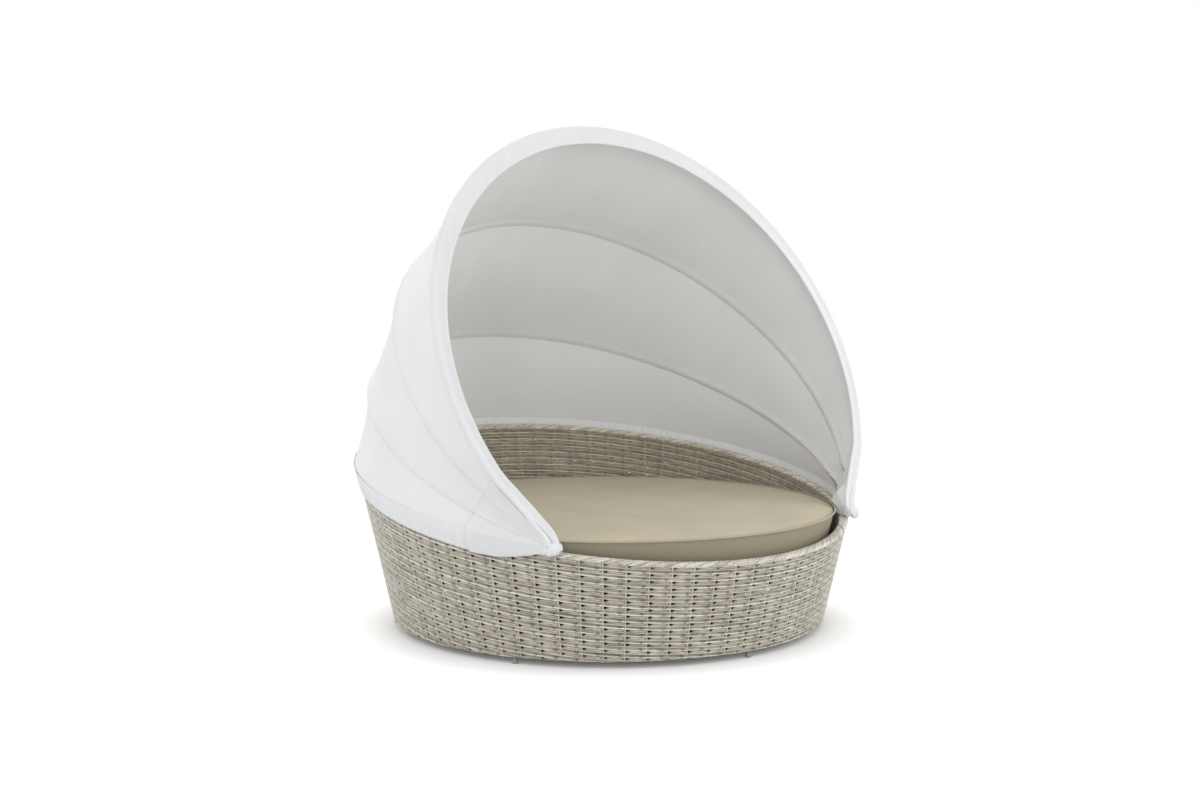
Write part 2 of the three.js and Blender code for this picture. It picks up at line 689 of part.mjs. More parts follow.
// Pivot hardware
const steel = finish(new THREE.Color(0.6, 0.6, 0.6), 0.3, 0.9);
const nylon = finish(new THREE.Color(0.8, 0.8, 0.78), 0.5, 0);
for (const [side, name] of [[-1, 'left'], [1, 'right']]) {
  const bore = rodBetween(onPivot(side, bracketInner - bracketThickness),
    onPivot(side, nutInner), boltRadius + fitGap);
  addPiece(`hinge_bracket_${name}`,
    cut(bracketGeometry(side), rimTubeRing(fitGap), bore), bowFinish);
  const headInner = bracketInner - fitGap - boltHeadThickness;
  addPiece(`pivot_bolt_${name}`, join(
    rodBetween(onPivot(side, headInner), onPivot(side, headInner + boltHeadThickness),
      boltHeadRadius, 6),
    rodBetween(onPivot(side, headInner + boltHeadThickness / 2),
      onPivot(side, nutInner + boltThreadEnd), boltRadius)), steel);
  addPiece(`pivot_cap_nut_${name}`, cut(
    rodBetween(onPivot(side, nutInner), onPivot(side, nutInner + boltThreadEnd + nutWall),
      boltHeadRadius, 6),
    rodBetween(onPivot(side, nutInner - nutWall), onPivot(side, nutInner + boltThreadEnd + fitGap),
      boltRadius + fitGap)), steel);
  for (let k = 0; k < 4; k += 1) {
    const inner = stackInner - fitGap - washerThickness + k * strapPitch;
    addPiece(`friction_washer_${name}_${k + 1}`, cut(
      rodBetween(onPivot(side, inner), onPivot(side, inner + washerThickness), washerRadius,
        tubeSides),
      rodBetween(onPivot(side, inner - nutWall), onPivot(side, inner + nutWall + washerThickness),
        boltRadius + 2 * fitGap, tubeSides)), nylon);
  }
}

// Canopy cloth
const cloth = finish(canvasWhite, 0.9, 0);
const clothSpot = (bow, outset, start, share) =>
  bowSpot(bow, outset, clothLift + outset, start, share);

/** How much of their depth the folds have at one place; each lies on the nearest corners. */
function foldAt(along, folds) {
  return Math.max(...folds.map((fold) => {
    const crease = Math.round(fold * panelSteps) / panelSteps;
    return Math.exp(-(((along - crease) / foldWidthShare) ** 2));
  }));
}

/** The cloth between two bows: straight across, drawn in a little where nothing carries it. */
function panelSurface(fore, aft, folds, outset, start = clothStart) {
  const span = aft.lean - fore.lean;
  const edge = fitGap / 2 / fore.rise;
  return (along, across) => {
    const share = lerp(edge, 1 - edge, across);
    const fold = (foldDepth / fore.rise) * foldAt(along, folds) * Math.sin(Math.PI * share);
    const a = clothSpot(fore, outset, start, along);
    const b = clothSpot(aft, outset, start, along);
    const chord = Math.cos(rad(span / 2)) / Math.cos(rad((share - 0.5) * span));
    const centre = lerp(fore.centre, aft.centre, share);
    const drawn = (clothSag / fore.rise) * 4 * share * (1 - share) * Math.sin(Math.PI * along);
    const sag = 1 - drawn - fold;
    const height = lerp(a.height, b.height, share);
    const lift = height > centre ? sag : 1;
    return onPlane(lerp(a.across, b.across, share) * sag,
      (centre + (height - centre) * lift) * chord, lerp(fore.lean, aft.lean, share));
  };
}
const frontPanel = (outset, start) =>
  panelSurface(canopyBows.front, canopyBows.mid, frontFoldShares, outset, start);
const midPanel = (outset, start) =>
  panelSurface(canopyBows.mid, canopyBows.back, midFoldShares, outset, start);
addPiece('canopy_front_panel', sheetGeometry(panelSteps, panelRows,
  frontPanel(0), frontPanel(-clothThickness)), cloth);
addPiece('canopy_mid_panel', sheetGeometry(panelSteps, panelRows,
  midPanel(0), midPanel(-clothThickness)), cloth);

const hemEndTurn = rad(pivotTurn + hemOverrun);
const hemTurn = (along) => lerp(-hemEndTurn, Math.PI + hemEndTurn, along);

/** The cloth from the back bow down to the hem's stitch line. */
function backSurface(outset) {
  const bow = canopyBows.back;
  return (along, across) => {
    const edge = fitGap / 2 / bow.rise;
    const share = lerp(edge, 1 - edge, across);
    const spot = clothSpot(bow, outset, clothStart, along);
    const top = onPlane(spot.across, spot.height, bow.lean);
    const standOff = hemStandOff + clothThickness + outset;
    const low = overHinge(rimSpot(hemTurn(along), -standOff, -hemHeight), outset);
    const point = top.lerp(low, share);
    const sag = (clothSag / bow.rise) * 4 * share * (1 - share) * Math.sin(Math.PI * along);
    return new THREE.Vector3(point.x * (1 - sag), point.y * (1 - sag), point.z);
  };
}
addPiece('canopy_back_panel', sheetGeometry(panelSteps, panelRows - 1,
  backSurface(0), backSurface(-clothThickness)), cloth);

/** Moves a point of the cloth sideways where it would lie on the pivot hardware. */
function overHinge(point, outset) {
  const cover = nutOuter + hingeCover + clothThickness + outset;
  const near = smooth(pivotY - point.y, -2 * hingeCoverLength, -hingeCoverLength);
  const short = Math.max(0, cover - Math.abs(point.x));
  return point.setX(point.x + Math.sign(point.x) * short * near);
}

/** The elastic hem round the outside of the rim, gathered in small waves. */
function hemSurface(outset) {
  return (along, across) => {
    const turn = hemTurn(along);
    const side = Math.sin(Math.PI * along);
    const low = lerp(hemFrontDrop, hemDrop, Math.min(1, 3 * side));
    const edge = fitGap / 2 / hemDrop;
    const share = lerp(edge, 1, across);
    const wave = hemGatherDepth * Math.sin(along * hemGathers * turnFull) * share;
    const standOff = lerp(hemStandOff, hemGrip + hemGatherDepth, share ** 2) + wave;
    const place = rimSpot(turn, -standOff - clothThickness - outset, lerp(-hemHeight, low, share));
    return overHinge(place, outset);
  };
}
addPiece('canopy_hem_band', sheetGeometry(hemSteps, 2,
  hemSurface(0), hemSurface(-clothThickness)), cloth);

/** The corners of the front sleeve's section: depth from the cloth inward, then forward. */
function lipSection(width) {
  const half = bowRadius + clothEase + clothThickness;
  const inner = bowRadius + clothEase;
  const straight = clothInset + bowRadius;
  const under = clothThickness + lipEdge;
  const fold = width - 2 * lipEdge;
  return [
    [0, fitGap], [0, half], [straight, half], [width, lipEdge], [width, -lipEdge],
    [straight, -half], [under, -half], [under, -inner], [straight, -inner],
    [fold, -lipEdge / 3], [fold, lipEdge / 3], [straight, inner],
    [clothThickness, inner], [clothThickness, fitGap],
  ];
}

/** The sleeve round the front bow: it wraps the tube and runs inward to a narrow fold. */
function frontLip() {
  const bow = canopyBows.front;
  return pathSweep(lipSteps, lipSection(lipSideWidth), (i, j) => {
    const spotAt = (k) => bowSpot(bow, 0, 0, lipStart, THREE.MathUtils.clamp(k / lipSteps, 0, 1));
    const [spot, before, after] = [spotAt(i), spotAt(i - 1), spotAt(i + 1)];
    const length = Math.hypot(after.across - before.across, after.height - before.height);
    const inward = [
      -(after.height - before.height) / length, (after.across - before.across) / length,
    ];
    const width = lerp(lipSideWidth, lipCrownWidth, Math.sin(Math.PI * (i / lipSteps)) ** 2);
    const [depth, forward] = lipSection(width)[j];
    return onPlane(spot.across + inward[0] * depth, spot.height + inward[1] * depth,
      bow.lean, forward);
  });
}
addPiece('canopy_front_lip', frontLip(), cloth);

/** The patch sewn over the ends of the front and mid panels beside one pivot. */
function patchSurface(side, outset) {
  const lift = patchGap + patchThickness + outset;
  const panels = [frontPanel(lift, patchStart), midPanel(lift, patchStart)];
  const rows = panels.length * patchRows;
  return (along, across) => {
    const place = side > 0 ? patchShare * along : 1 - patchShare * along;
    const row = Math.round(across * rows);
    const k = Math.min(panels.length - 1, Math.floor(row / patchRows));
    const share = row / patchRows - k;
    return overHinge(panels[k](place, k === 0 ? share : share * patchDepthShare), lift);
  };
}
for (const [side, name] of [[-1, 'left'], [1, 'right']]) {
  addPiece(`canopy_corner_patch_${name}`, sheetGeometry(patchSteps, 2 * patchRows,
    patchSurface(side, 0), patchSurface(side, -patchThickness)), cloth);
}

export default daybed;
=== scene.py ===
# %% [markdown]
# # A round outdoor daybed with a folding canopy
# The daybed is a woven cone on a hidden metal frame, with one round cushion and a cloth canopy
# on three bows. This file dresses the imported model: the weave, the cushion and the cloth are
# made new, and the metal parts keep their shape and get better finishes.
#
# Everything is in metres. The base stands on Z = 0, its axis is the Z axis, the open front
# faces -Y. Most shapes are functions of two numbers, worked out for a whole grid at once.

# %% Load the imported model
import json
import bpy
import numpy as np
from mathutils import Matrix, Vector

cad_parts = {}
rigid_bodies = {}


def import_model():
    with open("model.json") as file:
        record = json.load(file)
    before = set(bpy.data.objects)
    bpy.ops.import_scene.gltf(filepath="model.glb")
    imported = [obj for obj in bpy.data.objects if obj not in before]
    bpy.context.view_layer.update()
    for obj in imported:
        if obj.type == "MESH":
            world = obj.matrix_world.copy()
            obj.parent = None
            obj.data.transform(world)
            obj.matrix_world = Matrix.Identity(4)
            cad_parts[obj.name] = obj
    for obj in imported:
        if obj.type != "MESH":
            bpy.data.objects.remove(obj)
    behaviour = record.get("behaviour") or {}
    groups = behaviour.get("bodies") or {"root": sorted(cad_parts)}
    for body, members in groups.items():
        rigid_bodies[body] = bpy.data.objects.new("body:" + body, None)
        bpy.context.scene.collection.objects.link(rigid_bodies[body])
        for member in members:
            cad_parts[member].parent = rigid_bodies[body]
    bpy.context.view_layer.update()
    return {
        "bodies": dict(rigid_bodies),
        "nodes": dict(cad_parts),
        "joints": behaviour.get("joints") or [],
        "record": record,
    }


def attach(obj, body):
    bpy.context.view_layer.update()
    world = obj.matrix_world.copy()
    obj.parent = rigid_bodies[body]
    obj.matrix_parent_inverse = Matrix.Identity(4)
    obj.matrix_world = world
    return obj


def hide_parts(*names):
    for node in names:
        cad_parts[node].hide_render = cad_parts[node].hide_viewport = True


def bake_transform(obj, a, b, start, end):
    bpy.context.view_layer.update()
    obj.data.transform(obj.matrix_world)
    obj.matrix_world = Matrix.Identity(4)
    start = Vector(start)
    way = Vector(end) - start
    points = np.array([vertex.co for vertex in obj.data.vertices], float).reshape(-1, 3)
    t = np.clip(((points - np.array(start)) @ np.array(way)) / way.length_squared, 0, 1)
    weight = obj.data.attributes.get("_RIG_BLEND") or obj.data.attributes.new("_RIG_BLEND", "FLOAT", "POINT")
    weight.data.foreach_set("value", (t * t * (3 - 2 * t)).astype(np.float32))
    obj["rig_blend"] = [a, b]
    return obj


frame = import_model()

# %% [markdown]
# ## The camera
# The photograph was fitted by its rims, its piping and its bows. The camera stands at the front
# left, a little above the canopy's middle, and looks slightly down through a normal lens.

# %% Camera
CAMERA_PLACE = (-3.5944, -4.8113, 1.2879)
CAMERA_TURN = (90 - 4.382, 0.0, -36.454)      # degrees about X, Y and Z
LENS = 49.054                                 # millimetres on a 36 mm wide sensor

camera_data = bpy.data.cameras.new("camera")
camera_data.lens = LENS
camera_data.sensor_width = 36.0
camera = bpy.data.objects.new("camera", camera_data)
camera.location = CAMERA_PLACE
camera.rotation_euler = np.radians(CAMERA_TURN)
bpy.context.collection.objects.link(camera)
bpy.context.scene.camera = camera
print("camera at", CAMERA_PLACE, "lens", LENS)

# %% [markdown]
# ## Meshes from arrays
# A grid of points becomes a mesh by joining each point to its neighbours. A closed strand is a
# grid that joins end to end. Cloth is a grid with a second grid a cloth's thickness inside it.

# %% Grid and mesh helpers
def stack(*values):
    """Numbers or grids of numbers, put together as the coordinates of points."""
    return np.stack(np.broadcast_arrays(*values), axis=-1)


def polar(radius, turn, height):
    """The point at a radius and a height, at a turn about the Z axis."""
    return stack(radius * np.cos(turn), radius * np.sin(turn), height)


def unit(vectors):
    """Vectors brought to a length of one."""
    return vectors / np.maximum(np.linalg.norm(vectors, axis=-1, keepdims=True), 1e-12)


def path_lengths(points):
    """The length along a line of points, from its first point to each of them."""
    steps = np.linalg.norm(np.diff(points, axis=0), axis=-1)
    return np.concatenate([[0], np.cumsum(steps)])


def spots_along(profile, lengths, where):
    """Places at distances along a flat profile, given the lengths to its corners."""
    return np.stack([np.interp(where, lengths, profile[:, k]) for k in range(2)], axis=-1)


def grid_faces(rows, columns, wrap_rows=False, wrap_columns=False):
    """Corner numbers of a grid's faces, and the grid place of each corner for a UV map.

    A face joins point (i, j) to (i, j+1), (i+1, j+1) and (i+1, j); a wrapped grid also joins
    its last row or column to its first.
    """
    i = np.arange(rows if wrap_rows else rows - 1)[:, None, None]
    j = np.arange(columns if wrap_columns else columns - 1)[None, :, None]
    places = stack(i + np.array([0, 0, 1, 1]), j + np.array([0, 1, 1, 0]))
    faces = (places[..., 0] % rows) * columns + places[..., 1] % columns
    return faces.reshape(-1, 4), places.reshape(-1, 4, 2)


def signed_volume(points, faces):
    """Six times the volume inside the faces: negative if they point inwards."""
    a, b, c, d = (points[faces[:, k]] for k in range(4))
    return np.sum(a * (np.cross(b, c) + np.cross(c, d)))


def make_piece(name, points, faces, finish, uv=None):
    """Makes an object from arrays of points, four-cornered faces and UV places."""
    points = np.asarray(points, float).reshape(-1, 3)
    if signed_volume(points, faces) < 0:
        faces = faces[:, ::-1]
        uv = None if uv is None else uv[:, ::-1]
    mesh = bpy.data.meshes.new(name)
    mesh.vertices.add(len(points))
    mesh.vertices.foreach_set("co", points.astype(np.float32).ravel())
    mesh.loops.add(faces.size)
    mesh.loops.foreach_set("vertex_index", faces.astype(np.int32).ravel())
    mesh.polygons.add(len(faces))
    mesh.polygons.foreach_set("loop_start", np.arange(0, faces.size, 4, dtype=np.int32))
    mesh.polygons.foreach_set("use_smooth", np.ones(len(faces), bool))
    if uv is not None:
        layer = mesh.uv_layers.new(name="surface")
        layer.data.foreach_set("uv", uv.astype(np.float32).ravel())
    mesh.update(calc_edges=True)
    mesh.validate()
    mesh.materials.append(finish)
    piece = bpy.data.objects.new(name, mesh)
    bpy.context.collection.objects.link(piece)
    return piece


def grid_normals(points):
    """Unit normals of a grid of points, square to its rows and columns."""
    return unit(np.cross(np.gradient(points, axis=0), np.gradient(points, axis=1)))


def flat_cut(grid):
    """The size of a grid's surface laid flat: the longest way across it, the longest way along
    it, and its area as the sum of its cells, each half the product of its two diagonals."""
    across = np.linalg.norm(np.diff(grid, axis=1), axis=-1).sum(axis=1).max()
    along = np.linalg.norm(np.diff(grid, axis=0), axis=-1).sum(axis=0).max()
    first, second = grid[1:, 1:] - grid[:-1, :-1], grid[1:, :-1] - grid[:-1, 1:]
    area = np.linalg.norm(np.cross(first, second), axis=-1).sum() / 2
    return float(across), float(along), float(min(area, across * along))


def cloth_piece(name, outer, inner, uv):
    """A closed sheet of canvas: an outer grid, an inner grid and an edge between them."""
    rows, columns = outer.shape[:2]
    flat_cut(outer)
    points = np.concatenate([outer, inner], axis=1)
    across = 2 * columns
    order = np.concatenate([np.arange(columns), np.arange(across - 1, columns - 1, -1)])
    ring, places = grid_faces(rows, across, wrap_columns=True)
    faces = (ring // across) * across + order[ring % across]
    column = order[places[..., 1] % across] % columns
    row = places[..., 0]
    j = np.arange(columns - 1)
    caps = []
    for i, turned in ((0, False), (rows - 1, True)):
        cap = i * across + np.stack([j, j + columns, j + columns + 1, j + 1], axis=-1)
        caps.append(cap[:, ::-1] if turned else cap)
    cap_faces = np.concatenate(caps)
    faces = np.concatenate([faces, cap_faces])
    row = np.concatenate([row, cap_faces // across])
    column = np.concatenate([column, cap_faces % columns])
    return make_piece(name, points, faces, canvas, uv[row, column])


def smooth_step(value, low, high):
    """0 below low, 1 above high, and an even S-shaped rise between them."""
    share = np.clip((value - low) / (high - low), 0, 1)
    return share * share * (3 - 2 * share)


def mix(a, b, share):
    """The value that lies at a share of the way from a to b."""
    return a + (b - a) * share

# %% [markdown]
# ## Finishes
# Each finish is one Principled shader with a few textures in front of it. A plain number goes
# straight on the shader's socket. Cloth and strands read their own UV map, which is in metres,
# so that threads run along the cloth; metal reads Object coordinates.

# %% Finish helpers
def shade(red, green, blue):
    """A colour from screen values of 0 to 255, turned into linear light."""
    value = np.array([red, green, blue]) / 255
    linear = np.where(value <= 0.04045, value / 12.92, ((value + 0.055) / 1.055) ** 2.4)
    return tuple(float(v) for v in linear) + (1.0,)


def add_node(tree, kind, inputs=None, **settings):
    """Adds a node: settings are its options, inputs are numbers, colours or other outputs."""
    node = tree.nodes.new("ShaderNode" + kind)
    for key, value in settings.items():
        setattr(node, key, value)
    for key, value in (inputs or {}).items():
        if isinstance(value, bpy.types.NodeSocket):
            tree.links.new(value, node.inputs[key])
        else:
            node.inputs[key].default_value = value
    return node


def new_finish(name, **plain):
    """A material with one Principled shader, its plain numbers, and a coordinate node."""
    finish = bpy.data.materials.new(name)
    finish.use_nodes = True
    tree = finish.node_tree
    shader = next(node for node in tree.nodes if node.type == "BSDF_PRINCIPLED")
    for key, value in plain.items():
        shader.inputs[key.replace("_", " ")].default_value = value
    return finish, tree, shader, add_node(tree, "TexCoord")


def stretched(tree, source, scale, turn=0.0):
    """The coordinates of source, turned in their plane and scaled."""
    return add_node(tree, "Mapping", {
        "Vector": source, "Scale": scale, "Rotation": (0, 0, turn)}).outputs["Vector"]


def noise(tree, source, scale, detail=3.0, roughness=0.5):
    """A soft random pattern with features of about 1 / scale metres."""
    return add_node(tree, "TexNoise", {
        "Vector": source, "Scale": scale, "Detail": detail,
        "Roughness": roughness}).outputs["Fac"]


def ramp(tree, factor, *stops):
    """Turns a number into a colour through stops of (place, colour)."""
    node = add_node(tree, "ValToRGB", {"Fac": factor})
    elements = node.color_ramp.elements
    while len(elements) < len(stops):
        elements.new(0.5)
    for element, (place, colour) in zip(elements, stops):
        element.position = place
        element.color = colour
    return node.outputs["Color"]


def clouded(tree, pattern, colour, low, high):
    """A colour that a soft pattern makes a little darker and paler, by factors low and high."""
    dark, light = (shade(*np.clip(np.array(colour) * k, 0, 255)) for k in (low, high))
    return ramp(tree, pattern, (0.3, dark), (0.7, light))


def bump(tree, height, strength, distance, below=None):
    """A bump from a height pattern, on top of another bump if one is given."""
    inputs = {"Height": height, "Strength": strength, "Distance": distance}
    if below is not None:
        inputs["Normal"] = below
    return add_node(tree, "Bump", inputs).outputs["Normal"]

# %% [markdown]
# ### Canopy cloth
# The canopy is a white acrylic outdoor canvas: matt, closely woven, with hardly any sheen. The
# threads are under a millimetre, so they are two fine wave patterns that cross, and the cloth
# has faint clouds where the dye and the light vary.

# %% Canvas finish
def canvas_finish(name, tone):
    """White canvas: faint clouds in its colour, crossing threads and soft dents in its bump."""
    finish, tree, shader, coords = new_finish(
        name, Roughness=0.88, Specular_IOR_Level=0.25, Sheen_Weight=0.12,
        Subsurface_Weight=0.19, Subsurface_Radius=(1.0, 1.0, 1.0), Subsurface_Scale=0.004)
    surface = coords.outputs["UV"]
    clouds = noise(tree, coords.outputs["Object"], 3.0, 4.0)
    tree.links.new(clouded(tree, clouds, tone, 0.975, 1.0), shader.inputs["Base Color"])
    warp, weft = (add_node(tree, "TexWave", {
        "Vector": surface, "Scale": 280.0, "Distortion": 0.6, "Detail": 1.0},
        bands_direction=way).outputs["Fac"] for way in "XY")
    threads = add_node(tree, "Math", {0: warp, 1: weft}, operation="ADD").outputs[0]
    fine = bump(tree, threads, 0.15, 0.0003)
    soft = noise(tree, stretched(tree, surface, (1.0, 0.45, 1.0)), 9.0, 2.0)
    tree.links.new(bump(tree, soft, 0.25, 0.004, fine), shader.inputs["Normal"])
    return finish


canvas = canvas_finish("white_canvas", (240, 241, 243))
print("finish:", canvas.name)

# %% [markdown]
# ### Woven strands
# The base is woven from flat plastic cane in greige tones. The tone drifts from strand to
# strand and along each one, fine grooves run lengthwise, and the crowns of the strands are
# painted paler where they stand out: a painted highlight. The inside wall has a darker copy
# of the cane: painted shade. The grooves follow each strand's UV map.

# %% Cane finish
def cane_finish(name, deep, middle, pale):
    """Plastic cane: three tones by the strand's own tone and a drift along it, and grooves."""
    finish, tree, shader, coords = new_finish(
        name, Roughness=0.32, Specular_IOR_Level=0.9, Sheen_Weight=0.25)
    tone = add_node(tree, "Attribute", attribute_name="tone").outputs["Fac"]
    drift = noise(tree, stretched(tree, coords.outputs["UV"], (30.0, 1.0, 1.0)), 1.0, 3.0, 0.6)
    blend = add_node(tree, "Mix", {0: 0.45, 2: tone, 3: drift}).outputs[0]
    colour = ramp(tree, blend, (0.25, shade(*deep)), (0.5, shade(*middle)), (0.78, shade(*pale)))
    tree.links.new(colour, shader.inputs["Base Color"])
    grooves = noise(tree, stretched(tree, coords.outputs["UV"], (25.0, 2200.0, 1.0)), 1.0, 2.0)
    tree.links.new(bump(tree, grooves, 0.35, 0.0004), shader.inputs["Normal"])
    return finish


cane_outer = cane_finish("greige_cane", (112, 104, 90), (189, 182, 164), (240, 236, 223))
# Painted shade: the inside wall's cane is a darker copy of the outer cane.
cane_inner_painted_shade = cane_finish("greige_cane_inside_painted_shade", (104, 96, 80), (168, 159, 138), (212, 204, 185))
print("finishes:", cane_outer.name, cane_inner_painted_shade.name)

# %% [markdown]
# ### Cushion fabric
# The cushion has a plain taupe outdoor fabric, smooth and matt, with a very fine weave. Its band
# is painted darker than its top, and its piping is the same fabric painted darker: painted shade.

# %% Cushion finish
def fabric_finish(name, colour, thread, band_top=None):
    """A plain weave. Below the height band_top its colour is painted darker: painted shade on the band."""
    finish, tree, shader, coords = new_finish(
        name, Roughness=0.9, Specular_IOR_Level=0.2, Sheen_Weight=0.08)
    place = coords.outputs["Object"]
    cloth = clouded(tree, noise(tree, place, 5.0, 4.0), colour, 0.965, 1.01)
    # Painted shade: below band_top the colour is darkened by BAND_PAINTED_SHADE.
    if band_top:
        height = add_node(tree, "SeparateXYZ", {"Vector": place}).outputs["Z"]
        band = add_node(tree, "MapRange", {
            "Value": height, "From Min": band_top - 0.006, "From Max": band_top - 0.001})
        cloth = add_node(tree, "Mix", {
            0: band.outputs["Result"], 6: shade(*(np.array(colour) * BAND_PAINTED_SHADE)), 7: cloth},
            data_type="RGBA").outputs[2]
    tree.links.new(cloth, shader.inputs["Base Color"])
    grain = noise(tree, place, thread, 1.0, 0.7)
    tree.links.new(bump(tree, grain, 0.12, 0.0003), shader.inputs["Normal"])
    return finish


BAND_PAINTED_SHADE = 0.79                 # painted shade: the band's colour against the top's
CUSHION_TOP_SEAM = 0.4243         # height of the seam between the band and the top
taupe = fabric_finish("taupe_fabric", (203, 194, 168), 1500.0, CUSHION_TOP_SEAM)
# Painted shade: the piping is the cushion fabric made darker, for the shade in the seams.
piping_fabric_painted_shade = fabric_finish("piping_fabric_painted_shade", (186, 177, 152), 1800.0)
print("finishes:", taupe.name, piping_fabric_painted_shade.name)

# %% [markdown]
# ### Metal and plastic
# The frame is coated steel, the bows are plain aluminium, the bolts are steel, the washers and
# feet are plastic. Each has a faint grain, and its roughness varies a little as on handled metal.

# %% Hard finishes
def hard_finish(name, colour, metallic, low, high, grain, stretch=(1.0, 1.0, 1.0)):
    """Metal or plastic: its roughness varies from low to high, its grain is fine bump."""
    finish, tree, shader, coords = new_finish(name, Metallic=metallic)
    place = stretched(tree, coords.outputs["Object"], stretch)
    wear = noise(tree, place, 14.0, 4.0, 0.6)
    tree.links.new(clouded(tree, wear, colour, 0.92, 1.04), shader.inputs["Base Color"])
    rough = add_node(tree, "MapRange", {
        "Value": wear, "To Min": low, "To Max": high}).outputs["Result"]
    tree.links.new(rough, shader.inputs["Roughness"])
    fine = noise(tree, place, grain, 2.0)
    tree.links.new(bump(tree, fine, 0.2, 0.0002), shader.inputs["Normal"])
    return finish


coated_steel = hard_finish("coated_steel", (112, 107, 98), 0.2, 0.4, 0.55, 700.0)
slat_metal = hard_finish("slat_aluminium", (176, 178, 180), 0.8, 0.4, 0.55, 300.0, (0.05, 1.0, 1.0))
bow_metal = hard_finish("bow_aluminium", (190, 192, 194), 0.9, 0.3, 0.45, 400.0)
bolt_steel = hard_finish("bolt_steel", (150, 152, 155), 1.0, 0.22, 0.35, 500.0)
grey_nylon = hard_finish("grey_nylon", (205, 205, 200), 0.0, 0.4, 0.5, 900.0)
foot_plastic = hard_finish("foot_plastic", (158, 155, 148), 0.0, 0.5, 0.65, 900.0)
NODE_FINISHES = {
    "frame_": coated_steel, "deck_beam": coated_steel, "centre_leg": coated_steel,
    "deck_slat": slat_metal, "canopy_bow": bow_metal, "hinge_bracket": bow_metal,
    "pivot_": bolt_steel, "friction_washer": grey_nylon, "centre_foot": foot_plastic,
    "floor_glide": foot_plastic,
}
dressed = [(node, finish) for node_name, node in frame["nodes"].items()
           for start, finish in NODE_FINISHES.items() if node_name.startswith(start)]
for node, finish in dressed:
    node.data.materials.clear()
    node.data.materials.append(finish)
print("solids with a new finish:", len(dressed))

# %% [markdown]
# ## The base's surfaces
# The wall is a cone, wider at the top. A sloping plane cuts it, low in front and high at the
# back, and that cut is the rim. Two functions give any point beside the wall or the rim.

# %% Wall and rim
RIM_RADIUS = 0.900                # on the base's axis, level of the rim
RIM_HEIGHT = 0.489                # of the rim plane over the base's axis
RIM_SLOPE = np.tan(np.radians(9.7))
FOOT_RADIUS = 0.792
FOOT_HEIGHT = 0.020               # of the weave's lower edge
WALL_FLARE = (RIM_RADIUS - FOOT_RADIUS) / (RIM_HEIGHT - FOOT_HEIGHT)
SEAT_HEIGHT = 0.285
INNER_FACE = 0.0328               # from the outside of the wall to its inside


def wall_radius(height):
    """The cone's radius grows evenly with height."""
    return FOOT_RADIUS + WALL_FLARE * (height - FOOT_HEIGHT)


def rim_spot(turn, inset, drop):
    """The point under the rim plane by drop and inside the wall by inset, at a turn about Z.

    The rim's height depends on Y, and the cone's radius on the height, so the radius is the
    level radius over one minus flare times slope times the sine of the turn.
    """
    level = wall_radius(RIM_HEIGHT - drop) - inset
    radius = level / (1 - WALL_FLARE * RIM_SLOPE * np.sin(turn))
    return polar(radius, turn, RIM_HEIGHT - drop + RIM_SLOPE * radius * np.sin(turn))


def wall_spot(turn, inset, height):
    """The point at a height and inside the wall by inset, at a turn about Z."""
    return polar(wall_radius(height) - inset, turn, height)

# %% [markdown]
# ## The weave
# On the real base, stakes stand in pairs all round, and flat strands weave between them. One
# row, a bright strand and a sunken one, pinches in tight over the first stake of a pair and
# rides over the second. Of the next row, two strands side by side, the upper one passes under
# the second stake. Where it comes out again it leaves a small dark hole, and the stake shows as
# a pale stub.
#
# A bump pattern would look flat from the side and be lost in the mesh, so each strand is a real
# ring here: a small four-cornered section carried round the base. Its distance from the wall
# follows ten values for each cell. All strands of a band are worked out as one array.

# %% Weave pattern
CELLS = 72                        # pairs of stakes round the base
STAKE_PLACES = (0.145, 0.395)     # of the two stakes within a cell
STEP_PLACES = np.array([0.0, 0.08, 0.145, 0.22, 0.30, 0.395, 0.47, 0.53, 0.62, 0.80])
ROW_A = np.array([0.40, 0.10, -0.05, 0.20, 0.7, 1.0, 0.95, 0.85, 0.8, 0.70])
ROW_B = np.array([0.45, 0.8, 1.0, 0.6, -0.4, -1.0, -0.9, -0.3, 0.35, 0.55])
ROW_C = np.array([0.45, 0.8, 1.0, 0.6, 0.45, 0.35, 0.1, 0.1, 0.35, 0.55])
HOLE = np.array([0, 0, 0, 0, 0.05, 0.6, 1.0, 0.90, 0.15, 0])
PINCH = np.array([0, 0.4, 1.0, 0.4, 0, 0, 0, 0, 0, 0])
STRANDS = (       # place down the cell, width, path, sunken, paleness, then beside the hole how
    # far it moves down and how much it narrows, and how much it narrows over the first stake
    # The paleness column is partly painted light: the first strand's paleness is a painted highlight, the
    # sunken last strand's low paleness is painted shade.
    (0.00, 0.290, ROW_A, 0.0000, 0.76, -0.040, 0.16, 0.30),
    (0.27, 0.250, ROW_B, 0.0003, 0.48, 0.175, 0.55, 0.05),
    (0.51, 0.250, ROW_C, 0.0003, 0.50, 0.015, 0.05, 0.05),
    (0.76, 0.245, ROW_A, 0.0013, 0.28, 0.000, 0.05, 0.30),
)
WEAVE_DEPTH = 0.0016              # how far a strand moves from the middle of the weave
WEAVE_WANDER = 0.008              # share of a cell that a strand strays up and down
STRAND_THICKNESS = 0.0018
STRAND_UV = 0.0025                # metres of UV map from corner to corner of a strand's section
STRAND_OUTLINE = np.array([       # share of thickness outward, share of width upward
    [-0.50, -0.26], [-0.50, 0.26], [0.40, 0.50], [0.40, -0.50]])
ROW_TONES, CELL_TONES = 0.05, 0.08            # spread of paleness from row to row, cell to cell
CROWN_PAINTED_HIGHLIGHT = 0.07                 # painted highlight: how much paler a strand is where it stands out
HOLE_PAINTED_SHADE, PINCH_PAINTED_SHADE = 0.7, 0.6  # painted shade: how much darker beside a hole and where it is pinched
